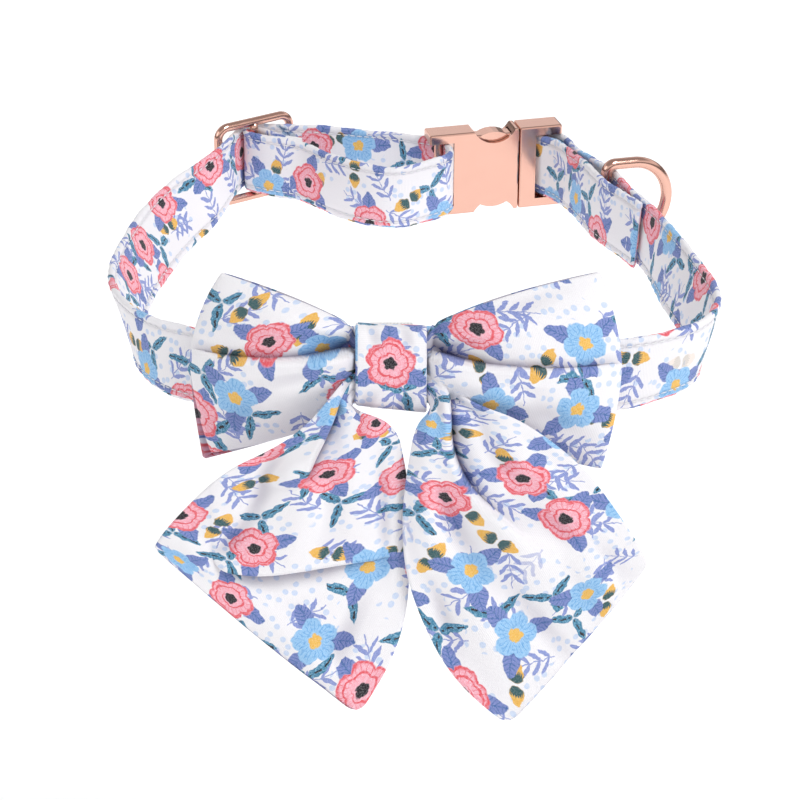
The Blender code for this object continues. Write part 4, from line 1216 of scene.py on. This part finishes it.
def add_metal(name, grids, body, node):
    """One object from closed wires and straight bars. A bar has a face on both ends."""
    points, faces, first = [], [], 0
    for grid, closed in grids:
        rows, cols = grid.shape[:2]
        made, _ = grid_faces(rows, cols, round_rows=closed, round_cols=True)
        faces += (made + first).tolist()
        if not closed:
            end = first + np.arange(cols)
            faces += [end[::-1].tolist(), (end + (rows - 1) * cols).tolist()]
        points.append(grid.reshape(-1, 3))
        first += rows * cols
    piece = new_object(name, np.concatenate(points), faces, GOLD)
    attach(piece, body)
    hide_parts(node)


# %% Slider
SLIDER_YAW = math.radians(214.0)
SLIDER_HIGH_AT = 2.1
SLIDER_CORNER = 4.5
SLIDER_BAR = 1.67
SLIDER_SIDES = 24
slider_long = 36.0 - 2.0 * WIRE_RADIUS
slider_high = 34.4 - 2.0 * WIRE_RADIUS
slider_along = np.array([math.cos(SLIDER_YAW), math.sin(SLIDER_YAW), 0.0])
slider_up = np.array([0.0, 0.0, 1.0])
slider_face = np.cross(slider_along, slider_up)
slider_middle = np.array([*SLIDER_CENTRE, SLIDER_HIGH_AT])
slider_flat = even_loop(rounded_loop(slider_long, slider_high, SLIDER_CORNER, 16, 8))
slider_path = slider_middle + slider_flat[:, :1] * slider_along + slider_flat[:, 1:] * slider_up
bar_path = slider_middle + np.linspace(-0.5, 0.5, 9)[:, None] * slider_high * slider_up
slider_frame = wire_rings(slider_path, slider_face, WIRE_RADIUS, SLIDER_SIDES)
slider_bar = wire_rings(bar_path, slider_face, SLIDER_BAR, SLIDER_SIDES, closed=False)
add_metal("slider_wire", [(slider_frame, True), (slider_bar, False)], "collar", "slider")

# %% [markdown]
# The D-ring is a straight bar inside the strap's fold and a bow outside it. The short straight runs
# next to the bar keep the bow clear of the strap's edges. The inside is a little wider than the
# strap, as on a ring that is free to turn.

# %% D-ring
RING_CENTRE = (77.2, 44.0, 3.2)
RING_YAW = math.radians(21.0)
RING_LEAN = math.radians(3.0)
RING_WIRE = 2.15
RING_INSIDE = 26.6
RING_DEPTH = 26.5
RING_SIDES = 28
ring_level = np.array([math.cos(RING_YAW), math.sin(RING_YAW), 0.0])
ring_bar = math.sin(RING_LEAN) * ring_level + math.cos(RING_LEAN) * np.array([0.0, 0.0, 1.0])
ring_reach = unit(ring_level - (ring_level @ ring_bar) * ring_bar)
ring_half = RING_INSIDE / 2.0 + RING_WIRE
ring_corner = RING_WIRE + 0.9


def turn_about(x, y, radius, start, end, count):
    """Points on an arc, as reach and bar."""
    turn = np.radians(np.linspace(start, end, count))
    return np.stack([x + radius * np.cos(turn), y + radius * np.sin(turn)], axis=1)


ring_flat = even_loop(np.concatenate([
    turn_about(ring_corner, ring_half - ring_corner, ring_corner, 180.0, 90.0, 9),
    turn_about(RING_DEPTH - ring_half, 0.0, ring_half, 90.0, -90.0, 49),
    turn_about(ring_corner, ring_corner - ring_half, ring_corner, 270.0, 180.0, 9),
]))
ring_path = np.array(RING_CENTRE) + ring_flat[:, :1] * ring_reach + ring_flat[:, 1:] * ring_bar
ring_wire = wire_rings(ring_path, np.cross(ring_reach, ring_bar), RING_WIRE, RING_SIDES)
add_metal("d_ring_wire", [(ring_wire, True)], "ring", "d_ring")

# %% Plating on the castings
for name in ("buckle_body", "buckle_tongue"):
    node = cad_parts[name]
    node.data.materials.clear()
    node.data.materials.append(GOLD)

# %% [markdown]
# ## Floor, light and camera
# The collar is shown on a pale ground under soft studio light: a key panel in front on the right, a
# wide weak one on the left, and a bright surround that fades overhead and at the horizon, so that
# the metal has something darker to reflect. The ground glows a little, as paper lit from below, and
# more towards the edges. The camera looks down at 28 degrees through a long lens, as a product
# photographer would, so that the near bow and the far buckle keep their true sizes.

# %% Floor
FLOOR_HEIGHT = -240.0
FLOOR_REACH = 6000.0


def pale_floor():
    """A wide sheet of pale paper, flat under the collar, whose glow grows with the distance."""
    made, shader, tree = blank_material("pale_paper")
    place = tree.add("ShaderNodeTexCoord", ["Object"], {})
    far = tree.add("ShaderNodeVectorMath", ["Value"], {0: place}, operation="LENGTH")
    glow = tree.ramp(far, (0.3, 1.5), (0.35, 0.62))
    tree.connect(shader, {"Base Color": (0.93, 0.93, 0.93, 1.0), "Roughness": 0.95,
                          "Emission Color": (1.0, 1.0, 1.0, 1.0), "Emission Strength": glow})
    corners = FLOOR_REACH * np.array([(-1.0, -1.0), (1.0, -1.0), (1.0, 1.0), (-1.0, 1.0)])
    points = np.concatenate([corners, np.full((4, 1), FLOOR_HEIGHT)], axis=1)
    return new_object("floor", points, [(0, 1, 2, 3)], made, smooth=False)


pale_floor()


# %% Lights and surround
def soft_panel(name, place, target, width, power):
    """A square area light at a place, turned towards a target."""
    light = bpy.data.lights.new(name, "AREA")
    light.shape = "SQUARE"
    light.size = width
    light.energy = power
    made = bpy.data.objects.new(name, light)
    made.location = place
    made.rotation_euler = (Vector(target) - Vector(place)).to_track_quat("-Z", "Y").to_euler()
    bpy.context.scene.collection.objects.link(made)


soft_panel("panel_key", (0.75, -0.62, 1.25), (0.0, 0.0, -0.02), 0.6, 13.6)
soft_panel("panel_left", (-1.3, -0.8, 0.8), (0.0, 0.0, 0.0), 0.9, 3.2)
surround = bpy.data.worlds.new("surround")
sky = Tree(surround)
facing = sky.add("ShaderNodeTexCoord", ["Generated"], {})
height = sky.add("ShaderNodeSeparateXYZ", ["Z"], {0: facing})
rise = sky.ramp(height, (0.17, 0.35), (0.20, 1.0), "SMOOTHSTEP")
fall = sky.ramp(height, (0.45, 0.68), (1.0, 0.40), "SMOOTHSTEP")
sky.connect(sky.nodes["Background"], {"Color": (1.0, 1.0, 1.0, 1.0), "Strength": rise * fall})
bpy.context.scene.world = surround
bpy.context.scene.view_settings.view_transform = "Standard"

# %% Camera
lens = bpy.data.cameras.new("camera")
lens.lens = 98.55
lens.sensor_width = 36.0
camera = bpy.data.objects.new("camera", lens)
camera.location = (0.0, -0.724, 0.327)
camera.rotation_euler = (math.radians(62.0), 0.0, 0.0)
bpy.context.scene.collection.objects.link(camera)
bpy.context.scene.camera = camera
